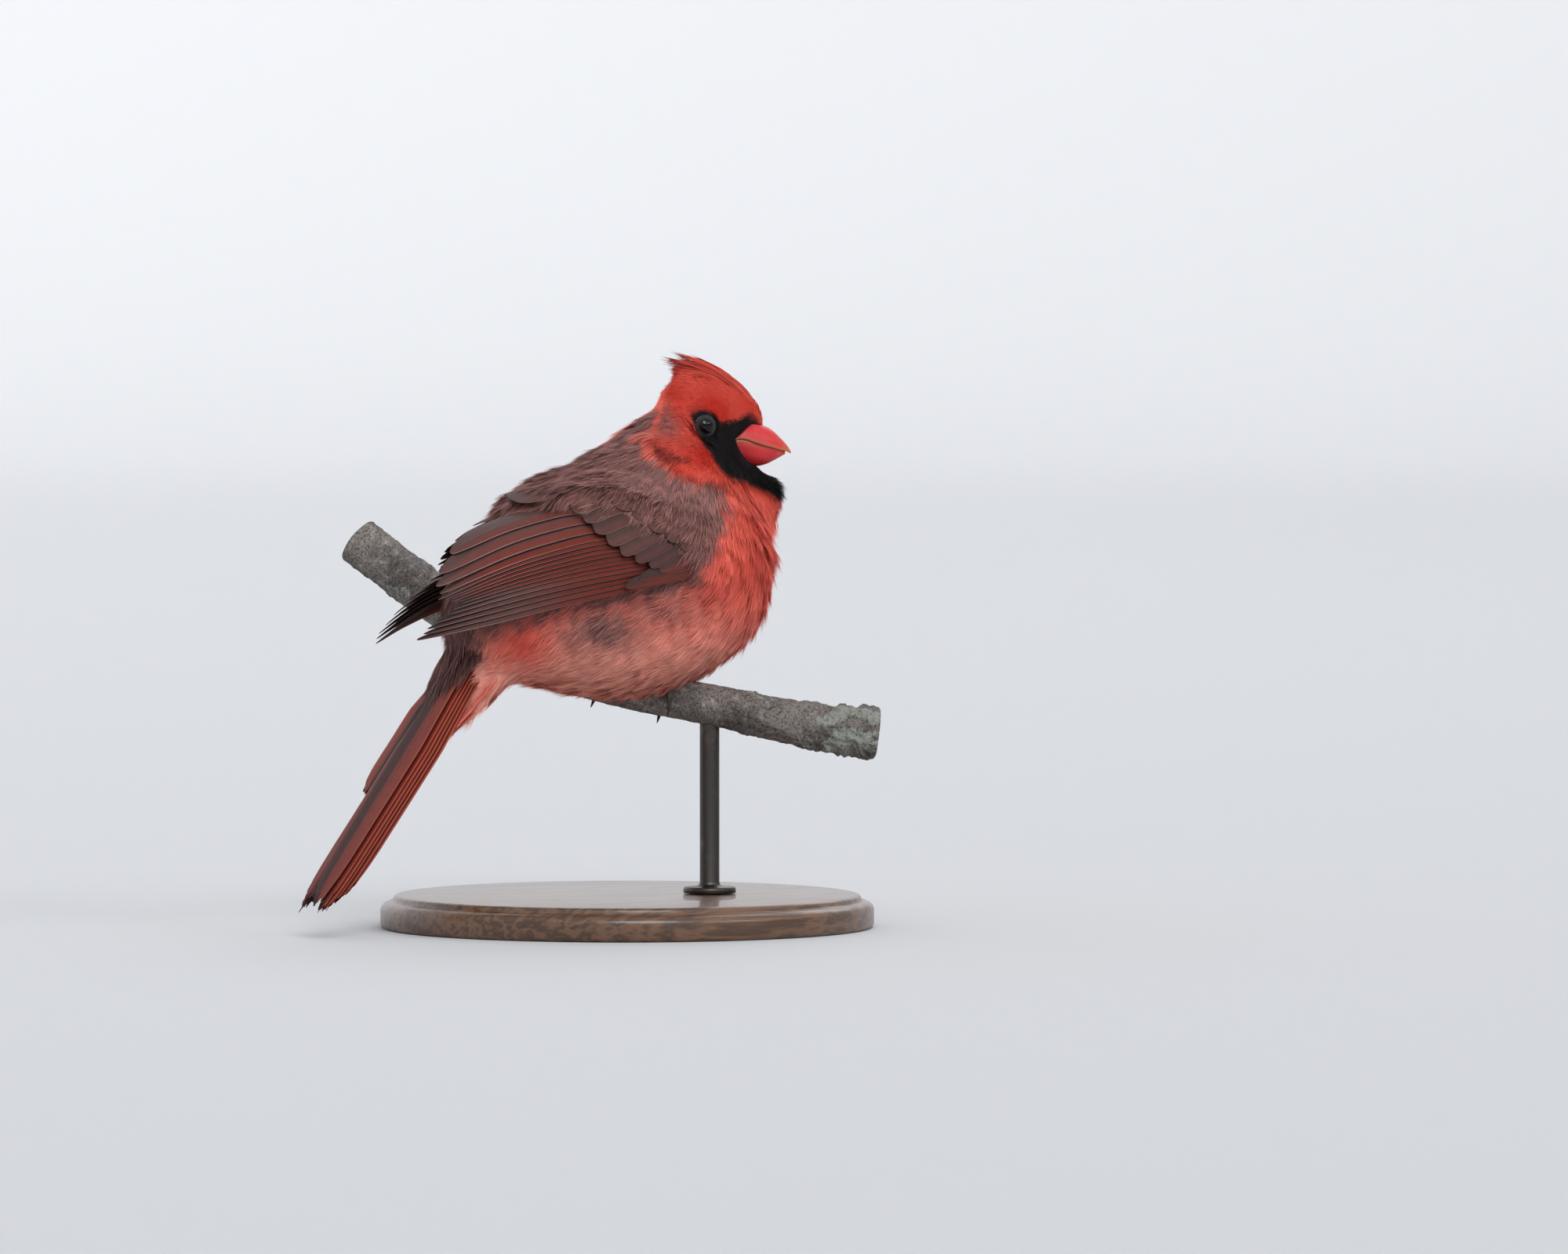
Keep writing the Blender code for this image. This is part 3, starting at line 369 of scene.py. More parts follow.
@dataclass(frozen=True)
class Plumage(Finish):
    """Body plumage: its colour follows the marks that skin and tufts both carry.

    marks is (black, grey, pale) and vivid is how bright the red is. black also holds painted shadow in the creases
    round the cheek, and pale is partly the belly's own paler colour, partly painted light from below. along runs
    from a tuft's root to its tip, and the root is darker as painted shade within the coat; blade and tuft are a
    tone for each barb and each tuft.
    """

    name: str = "cardinal_plumage"
    red: Colour = (0.90, 0.170, 0.120)
    vivid: Colour = (0.56, 0.030, 0.016)
    # pale: the belly's own paler colour, raised as painted light from below.
    pale: Colour = (1.0, 0.46, 0.36)
    grey: Colour = (0.23, 0.108, 0.096)
    rosy: Colour = (0.48, 0.205, 0.180)
    black: Colour = (0.0075, 0.0062, 0.0068)

    def draw(self, g: Graph) -> None:
        """Draws the nodes."""
        black, grey, pale = g.parts(g.attribute("marks", "Vector"))
        vivid = g.attribute("vivid")
        along = g.attribute("along")
        blade = g.attribute("blade")
        tuft = g.attribute("tuft")
        place = g.place()
        patch = g.noise(place, 260.0, 2.0)
        colour = g.mix(vivid, self.red, self.vivid)
        colour = g.mix(pale, colour, self.pale)
        streak = (blade * 0.6 + tuft * 0.4 + patch * 0.5 - 0.25).held()
        ash = g.mix((streak.between(0.45, 1.0) * (0.3 + along * 0.6)).held(), self.grey, self.rosy)
        share = (grey * 1.25 - streak * 0.25).held()
        colour = g.mix(share, colour, ash)
        # black: the mask and bib, with painted shadow in the cheek's creases.
        colour = g.mix(black, colour, self.black)
        # Painted shade: each tuft is darker towards its root and lighter towards its tip.
        colour = g.shaded(colour, (0.84 + along * 0.26) * (0.86 + streak * 0.30))
        finish_shader(g, Base_Color=colour, Roughness=0.75, Specular_IOR_Level=0.18)


@dataclass(frozen=True)
class Vane(Finish):
    """A stiff feather: web is (rust outside, dark inside, pale edge), vane is (across, along, tone). The dark inside
    is partly the inner web's own colour, partly painted shade where the next vane covers it.
    """

    name: str
    ground: Colour
    rust: Colour
    dark: Colour
    edge: Colour
    barbs: float = 110.0
    gloss: float = 0.14

    def draw(self, g: Graph) -> None:
        """Draws the nodes."""
        rust, dark, edge = g.parts(g.attribute("web", "Vector"))
        across, along, tone = g.parts(g.attribute("vane", "Vector"))
        place = g.place()
        grain = g.noise(place, 900.0, 3.0)
        wander = (along * self.barbs + across * 16.0 + grain * 1.6) * 2 * math.pi
        lines = wander.sine() * 0.5 + 0.5
        clumps = g.noise(place, 320.0, 2.0)
        outer = 1 - (across + grain * 0.06).between(0.24, 0.44)
        colour = g.mix((rust * outer).held(), self.ground, self.rust)
        # Dark inner web: partly its own colour, partly painted shade under the next vane.
        colour = g.mix((dark * (1 - outer)).held(), colour, self.dark)
        colour = g.shaded(colour, 0.74 + tone * 0.3 + clumps * 0.28 + lines * 0.10 - grain * 0.12)
        rim = 1 - across.between(0.012, 0.06)
        colour = g.mix((edge * rim * (0.7 + grain * 0.6)).held(), colour, self.edge)
        bump = lines * 0.6 + grain * 0.4
        finish_shader(g, bump, 0.00006, Base_Color=colour, Roughness=0.62, Specular_IOR_Level=self.gloss)


@dataclass(frozen=True)
class Horn(Finish):
    """The bill: coral red horn, redder at the root and more orange at the tip, with growth lines and painted shade in
    the slit between its halves.
    """

    name: str = "bill_coral"
    root: Colour = (0.38, 0.012, 0.020)
    middle: Colour = (0.60, 0.030, 0.034)
    tip: Colour = (0.52, 0.135, 0.045)
    cut: Colour = (0.45, 0.20, 0.10)
    slit_shade: Colour = (0.06, 0.012, 0.010)

    def draw(self, g: Graph) -> None:
        """Draws the nodes. look is (along, how near the cutting edge, how low)."""
        along, edge, low = g.parts(g.attribute("look", "Vector"))
        place = g.place()
        cloud = g.noise(place, 330.0, 4.0)
        lines = g.noise(g.stretched((500, 2600, 2600), (0, 0, math.radians(27))), 1.0, 4.0)
        colour = g.mix((along + cloud * 0.3 - 0.15).between(0.05, 0.5), self.root, self.middle)
        colour = g.mix((along + cloud * 0.2 - 0.1).between(0.72, 1.02), colour, self.tip)
        colour = g.mix((low * 0.5 * (1 - along)).held(), colour, self.root)
        colour = g.mix((edge * 0.75).held(), colour, self.cut)
        # Painted shade: a dark line along the slit where the two halves meet.
        colour = g.mix(edge.between(0.93, 0.99), colour, self.slit_shade)
        colour = g.shaded(colour, 0.80 + cloud * 0.24 + lines * 0.16)
        bump = lines * 0.7 + cloud * 0.3
        rough = 0.26 + lines * 0.22
        finish_shader(g, bump, 0.00012, Base_Color=colour, Roughness=rough, Specular_IOR_Level=0.35)


@dataclass(frozen=True)
class EyeGlass(Finish):
    """The eye: a black pupil in a very dark brown iris under a clear gloss. ring is 0 in its middle."""

    name: str = "eye_dark"
    pupil: Colour = (0.002, 0.002, 0.003)
    iris: Colour = (0.022, 0.011, 0.007)
    white: Colour = (0.004, 0.004, 0.005)

    def draw(self, g: Graph) -> None:
        """Draws the nodes."""
        ring = g.attribute("ring")
        flecks = g.noise(g.place(), 1600.0, 4.0)
        iris = g.mix(flecks, self.iris, self.pupil)
        colour = g.mix(ring.between(0.36, 0.42), self.pupil, iris)
        colour = g.mix(ring.between(0.60, 0.72), colour, self.white)
        finish_shader(g, Base_Color=colour, Roughness=0.06, Specular_IOR_Level=0.30)


@dataclass(frozen=True)
class Skin(Finish):
    """Bare skin with fine scales: lids and feet."""

    name: str
    base: Colour
    worn: Colour
    scale: float = 1500.0
    rough: float = 0.5

    def draw(self, g: Graph) -> None:
        """Draws the nodes."""
        place = g.place()
        settings = {"feature": "DISTANCE_TO_EDGE"}
        scales = g.wire("ShaderNodeTexVoronoi", settings, {"Vector": place, "Scale": self.scale}, "Distance")
        wear = g.noise(place, self.scale * 0.4, 4.0)
        plates = (scales * 6.0).held()
        colour = g.mix((wear * 0.8 * plates).held(), self.base, self.worn)
        finish_shader(g, plates * 0.7 + wear * 0.3, 0.00012, Base_Color=colour, Roughness=self.rough + wear * 0.2)


@dataclass(frozen=True)
class Bark(Finish):
    """Rough grey-brown bark, darker in its pits, with grey-green lichen. line is (along, out, sawn)."""

    name: str = "branch_bark"
    pit: Colour = (0.050, 0.043, 0.038)
    base: Colour = (0.170, 0.149, 0.135)
    worn: Colour = (0.32, 0.285, 0.26)
    lichen: Colour = (0.27, 0.285, 0.25)
    cut: Colour = (0.42, 0.30, 0.18)
    ring: Colour = (0.24, 0.15, 0.08)

    def draw(self, g: Graph) -> None:
        """Draws the nodes."""
        _, across, end = g.parts(g.attribute("line", "Vector"))
        moss = g.attribute("moss")
        place = g.place()
        grain = g.noise(place, 1500.0, 5.0, 0.7)
        coarse = g.noise(place, 420.0, 4.0, 0.6)
        drift = g.noise(place, 90.0, 3.0)
        colour = g.mix(grain.between(0.38, 0.56), self.pit, self.base)
        colour = g.mix((coarse.between(0.52, 0.75) * 0.75).held(), colour, self.worn)
        colour = g.shaded(colour, drift.between(0.36, 0.66) * 0.75 + 0.62)
        patch = g.noise(place, 520.0, 5.0, 0.65)
        patch = ((patch + moss * 0.42) - 0.55).between(0.05, 0.22)
        crinkled = grain.between(0.40, 0.52) * 0.65 + 0.25
        colour = g.mix((patch * crinkled).held(), colour, self.lichen)
        rings = ((across * 26.0 + drift * 5.0) * 2 * math.pi).sine() * 0.5 + 0.5
        face = g.mix((rings * 0.7 + grain * 0.3).held(), self.ring, self.cut)
        colour = g.mix(end, colour, face)
        relief = coarse * 0.55 + grain * 0.45
        rough = 0.94 - patch * 0.06
        finish_shader(g, relief, 0.00045, Base_Color=colour, Roughness=rough)


@dataclass(frozen=True)
class StainedWood(Finish):
    """Dark stained hardwood with a satin coat, its grain along X."""

    name: str = "stand_walnut"
    dark: Colour = (0.045, 0.020, 0.010)
    light: Colour = (0.165, 0.082, 0.042)

    def draw(self, g: Graph) -> None:
        """Draws the nodes."""
        sway = g.noise(g.stretched((9, 40, 60)), 1.0, 2.0)
        rings = g.noise(g.stretched((14, 170, 240), (0, 0, 0.12)), 1.0, 3.0)
        pores = g.noise(g.stretched((160, 3400, 3400), (0, 0, 0.12)), 1.0, 2.0)
        bands = ((rings * 9.0 + sway * 4.0) * math.pi).sine() * 0.5 + 0.5
        colour = g.mix((bands * 0.7 + sway * 0.4).held(), self.dark, self.light)
        colour = g.mix((pores.between(0.58, 0.7) * 0.6).held(), colour, self.dark)
        rough = 0.33 + pores * 0.14
        finish_shader(g, pores * 0.6 + bands * 0.4, 0.00004, Base_Color=colour, Roughness=rough, Coat_Weight=0.35)


@dataclass(frozen=True)
class DarkMetal(Finish):
    """Dark bronzed steel, drawn along its length."""

    name: str = "stand_bronze"
    base: Colour = (0.075, 0.066, 0.060)
    worn: Colour = (0.20, 0.17, 0.14)

    def draw(self, g: Graph) -> None:
        """Draws the nodes."""
        drawn = g.noise(g.stretched((2600, 2600, 60)), 1.0, 3.0)
        cloud = g.noise(g.place(), 130.0, 3.0)
        colour = g.mix((cloud.between(0.5, 0.85) * 0.6).held(), self.base, self.worn)
        rough = 0.30 + drawn * 0.2
        finish_shader(g, drawn, 0.00002, Base_Color=colour, Roughness=rough, Metallic=1.0)


@dataclass(frozen=True)
class StudioFloor(Finish):
    """A plain pale floor."""

    name: str = "studio_pale"
    base: Colour = (0.57, 0.575, 0.585)

    def draw(self, g: Graph) -> None:
        """Draws the nodes."""
        finish_shader(g, Base_Color=self.base, Roughness=0.9)


# Meshes


def grid(rows: int, columns: int, wrap: bool = False, loop: bool = False, flip: bool = False) -> list[tuple[int, ...]]:
    """The four-sided faces of a grid of points.

    Args:
        rows: how many rows it has.
        columns: how many points a row has.
        wrap: whether the last point of a row joins the first.
        loop: whether the last row joins the first.
        flip: whether the faces look the other way.

    Returns:
        The faces.
    """
    faces = []
    for i in range(rows if loop else rows - 1):
        for k in range(columns if wrap else columns - 1):
            m = (k + 1) % columns
            a, b = i * columns, (i + 1) % rows * columns
            faces.append((a + k, a + m, b + m, b + k))
    return [face[::-1] for face in faces] if flip else faces


def placed(name: str, data: bpy.types.ID) -> bpy.types.Object:
    """A new object in the scene."""
    made = bpy.data.objects.new(name, data)
    bpy.context.scene.collection.objects.link(made)
    return made


@dataclass
class Sheaf:
    """Pieces that are joined into one mesh as they are made, with their attributes."""

    name: str
    points: list[Array] = field(default_factory=list)
    faces: list[tuple[int, ...]] = field(default_factory=list)
    marks: dict[str, list[Array]] = field(default_factory=dict)
    count: int = 0

    def add(self, points: Array, faces: Sequence[tuple[int, ...]], **marks: Array) -> None:
        """Adds a piece.

        Args:
            points: its points in millimetres.
            faces: its faces, numbered from its own first point.
            marks: an attribute for each of its points, one number or three.
        """
        self.points.append(np.asarray(points, float).reshape(-1, 3))
        self.faces += [tuple(self.count + i for i in face) for face in faces]
        for name, values in marks.items():
            self.marks.setdefault(name, []).append(np.asarray(values, float))
        self.count += len(self.points[-1])

    def loft(self, rings: Array, **marks: Array) -> None:
        """Adds a closed skin through rings of points, an array of rings by sides by 3."""
        count, sides = rings.shape[:2]
        faces = grid(count, sides, wrap=True)
        ends = rings[[0, -1]].mean(1)
        base = count * sides
        for k in range(sides):
            m = (k + 1) % sides
            faces.append((m, k, base))
            faces.append(((count - 1) * sides + k, (count - 1) * sides + m, base + 1))
        full = {}
        for name, values in marks.items():
            values = np.asarray(values, float)
            values = values.reshape(count * sides, *values.shape[2:])
            tails = np.stack([values[:sides].mean(0), values[-sides:].mean(0)])
            full[name] = np.concatenate([values, tails])
        self.add(np.concatenate([rings.reshape(-1, 3), ends]), faces, **full)

    def build(self) -> bpy.types.Object:
        """Makes the smooth-shaded object."""
        mesh = bpy.data.meshes.new(self.name)
        mesh.from_pydata((np.concatenate(self.points) * MM).tolist(), [], self.faces)
        for name, values in self.marks.items():
            set_mark(mesh, name, np.concatenate(values))
        mesh.shade_smooth()
        return placed(self.name, mesh)


def set_mark(mesh: bpy.types.Mesh, name: str, values: Array) -> None:
    """Stores one number or three for each point of a mesh."""
    vector = values.ndim == 2
    kept = mesh.attributes.get(name)
    if kept is None:
        kept = mesh.attributes.new(name, "FLOAT_VECTOR" if vector else "FLOAT", "POINT")
    kept.data.foreach_set("vector" if vector else "value", np.ascontiguousarray(values, np.float32).ravel())


def drop_marks(mesh: bpy.types.Mesh, *names: str) -> None:
    """Removes the attributes that only the making of a mesh needed."""
    for name in names:
        kept = mesh.attributes.get(name)
        if kept is not None:
            mesh.attributes.remove(kept)


def turned_out(made: bpy.types.Object) -> bpy.types.Object:
    """Turns a closed mesh's faces outwards."""
    bm = bmesh.new()
    bm.from_mesh(made.data)
    bmesh.ops.recalc_face_normals(bm, faces=bm.faces)
    bm.to_mesh(made.data)
    bm.free()
    return made


def settled(made: bpy.types.Object) -> bpy.types.Object:
    """Turns the result of an object's modifiers into its own plain mesh."""
    bpy.context.view_layer.update()
    graph = bpy.context.evaluated_depsgraph_get()
    mesh = bpy.data.meshes.new_from_object(made.evaluated_get(graph))
    made.modifiers.clear()
    made.data = mesh
    return made


def modified(made: bpy.types.Object, kind: str, **settings: object) -> bpy.types.Object:
    """Adds a modifier with its settings."""
    step = made.modifiers.new(kind.lower(), kind)
    for name, value in settings.items():
        setattr(step, name, value)
    return made


def numbers_of(items: bpy.types.bpy_prop_collection, name: str) -> Array:
    """Three numbers for each of a mesh's items."""
    found = np.empty(len(items) * 3)
    items.foreach_get(name, found)
    return found.reshape(-1, 3)


def points_of(mesh: bpy.types.Mesh) -> Array:
    """A mesh's points in millimetres."""
    return numbers_of(mesh.vertices, "co") / MM


def normals_of(mesh: bpy.types.Mesh) -> Array:
    """The way that the surface faces at each point."""
    return numbers_of(mesh.vertex_normals, "vector")


def put_points(mesh: bpy.types.Mesh, points: Array) -> None:
    """Moves a mesh's points, given in millimetres."""
    mesh.vertices.foreach_set("co", (points * MM).ravel())
    mesh.update()


def dress(
    made: bpy.types.Object,
    material: bpy.types.Material,
    replaced: Sequence[str] = (),
) -> bpy.types.Object:
    """Gives a piece its material and its place in the frame, and reports it.

    Args:
        made: the finished piece.
        material: what it is made of.
        replaced: the nodes that it stands for.

    Returns:
        The piece.
    """
    made.data.materials.clear()
    made.data.materials.append(material)
    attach(made, "root")
    if replaced:
        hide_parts(*replaced)
    faces = sum(len(p.vertices) - 2 for p in made.data.polygons)
    LOG.info("%s: %d triangles, %s", made.name, faces, material.name)
    return made


# The body's form


@dataclass
class HeadFrame:
    """The head's own frame: along the bill, left and up from the middle between the eyes."""

    centre: tuple[float, float, float] = (32.3, 0.0, 151.3)
    turn: float = math.radians(-27)
    eye_faces: tuple[float, float] = (0.32, 0.05)
    eye_radius: float = 3.4

    def matrix(self) -> Array:
        """The turn as a 3 by 3 array."""
        return about_z(self.turn)

    def place(self, points: Array) -> Array:
        """Points of the head's frame in the part's frame."""
        return np.asarray(points, float) @ self.matrix().T + self.centre

    def read(self, points: Array) -> Array:
        """Points of the part's frame in the head's frame."""
        return (np.asarray(points, float) - self.centre) @ self.matrix()

    def eyes(self) -> dict[str, tuple[Array, Array]]:
        """Each eye's middle, as its solid has it, and the way it looks."""
        found = {}
        for side, sign in (("left", 1), ("right", -1)):
            low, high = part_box("eye_" + side)
            centre = (np.array(low) + np.array(high)) / 2 / MM
            ahead, up = self.eye_faces
            found[side] = (centre, unit(np.array((ahead, sign, up)) @ self.matrix().T))
        return found

    @staticmethod
    def about_eye(points: Array, centre: Array, looks: Array) -> tuple[Array, Array]:
        """How far points lie before an eye's middle, and how far beside the line of its look."""
        offset = points - centre
        height = offset @ looks
        return height, np.linalg.norm(offset - height[:, None] * looks, axis=1)


@dataclass
class WingSurface:
    """The folded wing's outer surface: u from the bend to the tips, v from its upper edge to its lower."""

    upper: Rows = table(
        (6.0, -29.0, 121.0), (-8.0, -26.0, 128.0), (-22.5, -19.0, 130.0),
        (-36.5, -12.0, 126.5), (-51.7, -6.0, 121.0), (-69.4, -4.5, 112.0),
    )
    arch: Rows = table(
        (9.0, -31.5, 116.5), (-4.0, -35.5, 120.0), (-22.0, -37.0, 122.0),
        (-39.0, -33.0, 119.5), (-56.0, -25.0, 114.0), (-76.0, -13.0, 101.0),
    )
    lower: Rows = table(
        (10.7, -30.0, 110.5), (-0.3, -32.0, 107.6), (-20.9, -33.5, 103.3),
        (-41.8, -31.0, 98.8), (-59.9, -24.0, 93.7), (-80.3, -10.8, 87.8),
    )

    def _at(self, u: Array, v: Array) -> Array:
        """Points of the surface."""
        upper, arch, lower = (curve(rows, u) for rows in (self.upper, self.arch, self.lower))
        v = v[..., None]
        return upper * (1 - v) ** 2 + arch * 2 * v * (1 - v) + lower * v**2

    def at(self, u: Array, v: Array, lift: Array) -> Array:
        """Points over the surface.

        Args:
            u: from the bend, 0, to the tips, 1.
            v: from the upper edge, 0, to the lower, 1.
            lift: how far outside it, in millimetres.

        Returns:
            The points, for the right wing.
        """
        u, v, lift = np.broadcast_arrays(np.asarray(u, float), np.asarray(v, float), np.asarray(lift, float))
        step = 0.01
        inner = np.clip(u, step, 1 - step)
        ahead = self._at(inner + step, v) - self._at(inner - step, v)
        down = self._at(u, v + step) - self._at(u, v - step)
        out = unit(np.cross(down, ahead))
        out = np.where(out[..., 1:2] > 0, -out, out)
        return self._at(u, v) + out * lift[..., None]

    def depth(self, u: Array) -> Array:
        """How far it is over the surface from its upper edge to its lower."""
        v = np.linspace(0, 1, 9)
        points = self._at(np.asarray(u, float)[..., None] + 0 * v, np.broadcast_to(v, (*np.shape(u), 9)))
        return np.linalg.norm(np.diff(points, axis=-2), axis=-1).sum(-1)


LEFT_WING_SHIFT = np.array((0.0, 0.8, -2.2))


def other_side(points: Array) -> Array:
    """Points of the right wing as they lie on the left one."""
    return points * (1, -1, 1) + LEFT_WING_SHIFT


@dataclass
class BodyForm:
    """Trunk, head, throat, shoulders and crest as one skin, with the lie and marks of its plumage."""

    head: HeadFrame
    wing: WingSurface
    tail: "Tail"
    # Back x, back z, breast x, breast z, half width.
    trunk: Rows = table(
        (-61.8, 84.6, -50.0, 75.2, 7.5), (-60.5, 104.0, -36.0, 75.0, 20.0),
        (-46.5, 122.0, -15.0, 70.8, 29.5), (-28.0, 137.0, 6.0, 70.0, 33.0),
        (-11.0, 145.0, 25.0, 76.0, 34.5), (1.0, 151.0, 40.0, 87.0, 34.0),
        (7.5, 156.0, 45.8, 102.0, 27.5), (12.0, 159.0, 47.8, 117.0, 17.5),
        (17.0, 159.0, 47.0, 130.0, 10.5), (24.0, 156.0, 41.0, 140.0, 7.0),
    )
    # Along, half width, top, bottom, how much narrower the crown is than the cheek.
    skull: Rows = table(
        (-21.0, 5.0, 2.0, -7.0, 0.10), (-18.5, 9.8, 8.0, -12.0, 0.15), (-14.5, 12.9, 14.6, -15.0, 0.28),
        (-8.0, 13.6, 17.4, -17.0, 0.38), (-1.5, 12.2, 17.0, -18.0, 0.36), (3.0, 8.6, 15.4, -17.0, 0.20),
        (7.5, 4.9, 13.4, -13.0, -0.10), (11.5, 3.6, 10.4, -10.0, -0.15), (15.2, 2.2, 6.2, -8.0, -0.05),
    )
    # The fin that the crest's feathers lie on: along, half width, top, bottom.
    fin: Rows = table(
        (11.5, 1.2, 6.0, 0.0), (8.5, 2.4, 9.0, 2.0), (5.0, 3.4, 11.8, 4.0), (1.0, 4.4, 14.4, 6.0),
        (-3.5, 4.8, 17.0, 8.0), (-7.5, 4.4, 18.7, 9.0), (-10.2, 3.4, 19.5, 10.5), (-11.8, 2.2, 19.4, 12.5),
    )
    throat_place: tuple[float, float, float] = (9.6, 0.0, -21.2)
    throat_reach: tuple[float, float, float] = (10.8, 11.5, 9.4)
    # The plumage over the wing's shoulder: u, how far down it reaches (v), its height.
    shoulder: Rows = table(
        (-0.08, 0.95, 0.5), (-0.03, 1.04, 3.0), (0.03, 1.08, 4.6), (0.09, 1.02, 5.4), (0.15, 0.86, 5.6),
        (0.22, 0.68, 5.6), (0.29, 0.54, 5.4), (0.36, 0.43, 5.2), (0.43, 0.33, 5.0), (0.50, 0.22, 4.4),
        (0.57, 0.10, 3.2),
    )
    # The plumage under the tail's root: along the tail, how far under it the lobe's bottom and top lie, half width.
    vent: Rows = table(
        (-16.0, 18.5, 4.0, 12.0), (-8.0, 17.0, 1.0, 12.0), (0.0, 14.8, 0.5, 11.5), (7.0, 12.2, 0.8, 10.0),
        (14.0, 9.2, 1.2, 8.0), (20.0, 6.6, 1.6, 5.6), (25.0, 4.6, 2.2, 2.6),
    )
    coat_depth: float = 1.25
    face_depth: float = 0.7
    # How high over an eye's middle the skin lies flat round it.
    eye_bed: float = 1.35
    coarse_voxel: float = 1.7
    fine_voxel: float = 0.95
    lumpy: float = 0.32
    body_smoothing: int = 34
    join_smoothing: int = 70
    # How far the hollow round the shoulder's plumage is filled, and how near to its edge.
    filling: float = 5.0
    filled_near: tuple[float, float] = (5.0, 13.0)

    def _trunk_rings(self) -> Array:
        """Rings of points round the trunk."""
        rows = curve(self.trunk, np.linspace(0, 1, 40))
        back = np.stack([rows[:, 0], 0 * rows[:, 0], rows[:, 1]], 1)[:, None]
        front = np.stack([rows[:, 2], 0 * rows[:, 0], rows[:, 3]], 1)[:, None]
        turn = circle(48)[:, None]
        side = np.array((0.0, 1.0, 0.0)) * rows[:, None, 4:5]
        return (back + front) / 2 + (back - front) / 2 * np.sin(turn) + side * np.cos(turn)

    def _head_rings(self, columns: Array, narrow: Array | float, sides: int) -> Array:
        """Rings of points in the head's frame.

        Args:
            columns: along, half width, top and bottom.
            narrow: how much narrower the rings are at the top.
            sides: how many points a ring has.

        Returns:
            Rings by sides by 3.
        """
        along, half, top, bottom = columns
        turn = circle(sides)
        side = np.cos(turn) * (1 - narrow * np.sin(turn)) * half
        up = blend(bottom, top, (1 + np.sin(turn)) / 2)
        return self.head.place(np.stack([along + 0 * turn, side, up], -1))

    def _skull_rings(self) -> Array:
        """Rings of points round the head."""
        columns = stations(self.skull, 30)
        return self._head_rings(columns[:4], columns[4], 36)

    def _fin_rings(self) -> Array:
        """Rings of points round the crest's fin, narrower at its top."""
        return self._head_rings(stations(self.fin, 26), 0.45, 24)

    def _throat_rings(self) -> Array:
        """Rings of points round the throat."""
        return self.head.place(ball_rings(24, 0.12) * self.throat_reach + self.throat_place)

    def _vent_rings(self) -> Array:
        """Rings of points round the plumage under the tail's root."""
        along, bottom, top, half = stations(self.vent, 24)
        turn = circle(28)
        return self.tail.place(along, half * np.cos(turn), -blend(top, bottom, (1 + np.sin(turn)) / 2))

    def _shoulder_rings(self) -> Array:
        """Rings of points round the plumage that covers the right wing's shoulder."""
        rows = curve(self.shoulder, np.linspace(0, 1, 22))
        share = np.linspace(0, 1, 15)
        rings = []
        for u, reach, height in rows:
            v = -0.14 + (reach + 0.14) * share
            rise = np.minimum(ease(share, -0.05, 0.28), 1 - 0.8 * ease(share, 0.84, 1.04)) * height
            outer = self.wing.at(u, v, rise)
            inner = self.wing.at(u, v[::-1], -7.0)
            rings.append(np.concatenate([outer, inner]))
        return np.stack(rings)

    def _by_shoulder(self, points: Array) -> Array:
        """1 where the shoulder's plumage meets the back and the breast, 0 away from there."""
        first, last = self.shoulder[0], self.shoulder[-1]
        top = self.wing.at(np.linspace(last[0], first[0], 20), np.full(20, -0.1), 0.0)
        front = self.wing.at(np.full(12, first[0]), np.linspace(-0.1, first[1], 12), 0.0)
        edge = np.concatenate([top, front])
        right = points * (1, 0, 1) - np.abs(points) * (0, 1, 0)
        apart = np.linalg.norm(right[:, None] - edge[None], axis=-1).min(1)
        return 1 - ease(apart, *self.filled_near)

    @staticmethod
    def _remesh(made: bpy.types.Object, voxel: float) -> bpy.types.Object:
        """Adds the step that turns forms which run into each other into one skin."""
        return modified(made, "REMESH", mode="VOXEL", voxel_size=voxel * MM)

    @staticmethod
    def _smooth(made: bpy.types.Object, times: int, name: str = "") -> bpy.types.Object:
        """Adds a smoothing of the whole skin or of a vertex group."""
        return modified(made, "SMOOTH", factor=0.5, iterations=times, vertex_group=name)

    @staticmethod
    def _group(skin: bpy.types.Object, name: str, share: Array) -> None:
        """Gives the skin a vertex group, with weights in quarters."""
        group = skin.vertex_groups.new(name=name)
        for level in range(1, 5):
            group.add(np.flatnonzero(np.round(share * 4) == level).tolist(), level / 4, "REPLACE")

    def surface(self) -> bpy.types.Object:
        """The outside of the plumage as one closed mesh."""
        first = Sheaf("coarse form")
        for rings in (self._trunk_rings(), self._skull_rings(), self._throat_rings(), self._vent_rings()):
            first.loft(rings)
        coarse = self._remesh(turned_out(first.build()), self.coarse_voxel)
        settled(self._smooth(coarse, 19))
        second = Sheaf("skin")
        second.add(points_of(coarse.data), [tuple(p.vertices) for p in coarse.data.polygons])
        second.loft(self._fin_rings())
        shoulder = self._shoulder_rings()
        second.loft(shoulder)
        second.loft(other_side(shoulder))
        bpy.data.objects.remove(coarse)
        skin = settled(self._remesh(turned_out(second.build()), self.fine_voxel))
        for sign in (1, -1):
            points = points_of(skin.data)
            swelling = sign * self.filling * self._by_shoulder(points)
            put_points(skin.data, points + normals_of(skin.data) * swelling[:, None])
            settled(self._remesh(skin, self.fine_voxel))
        self._group(skin, "soft", 1 - Markings(self.head).face(points_of(skin.data)))
        self._smooth(skin, 6)
        settled(self._smooth(skin, self.body_smoothing, "soft"))
        self._group(skin, "join", self._by_shoulder(points_of(skin.data)))
        return settled(self._smooth(skin, self.join_smoothing, "join"))

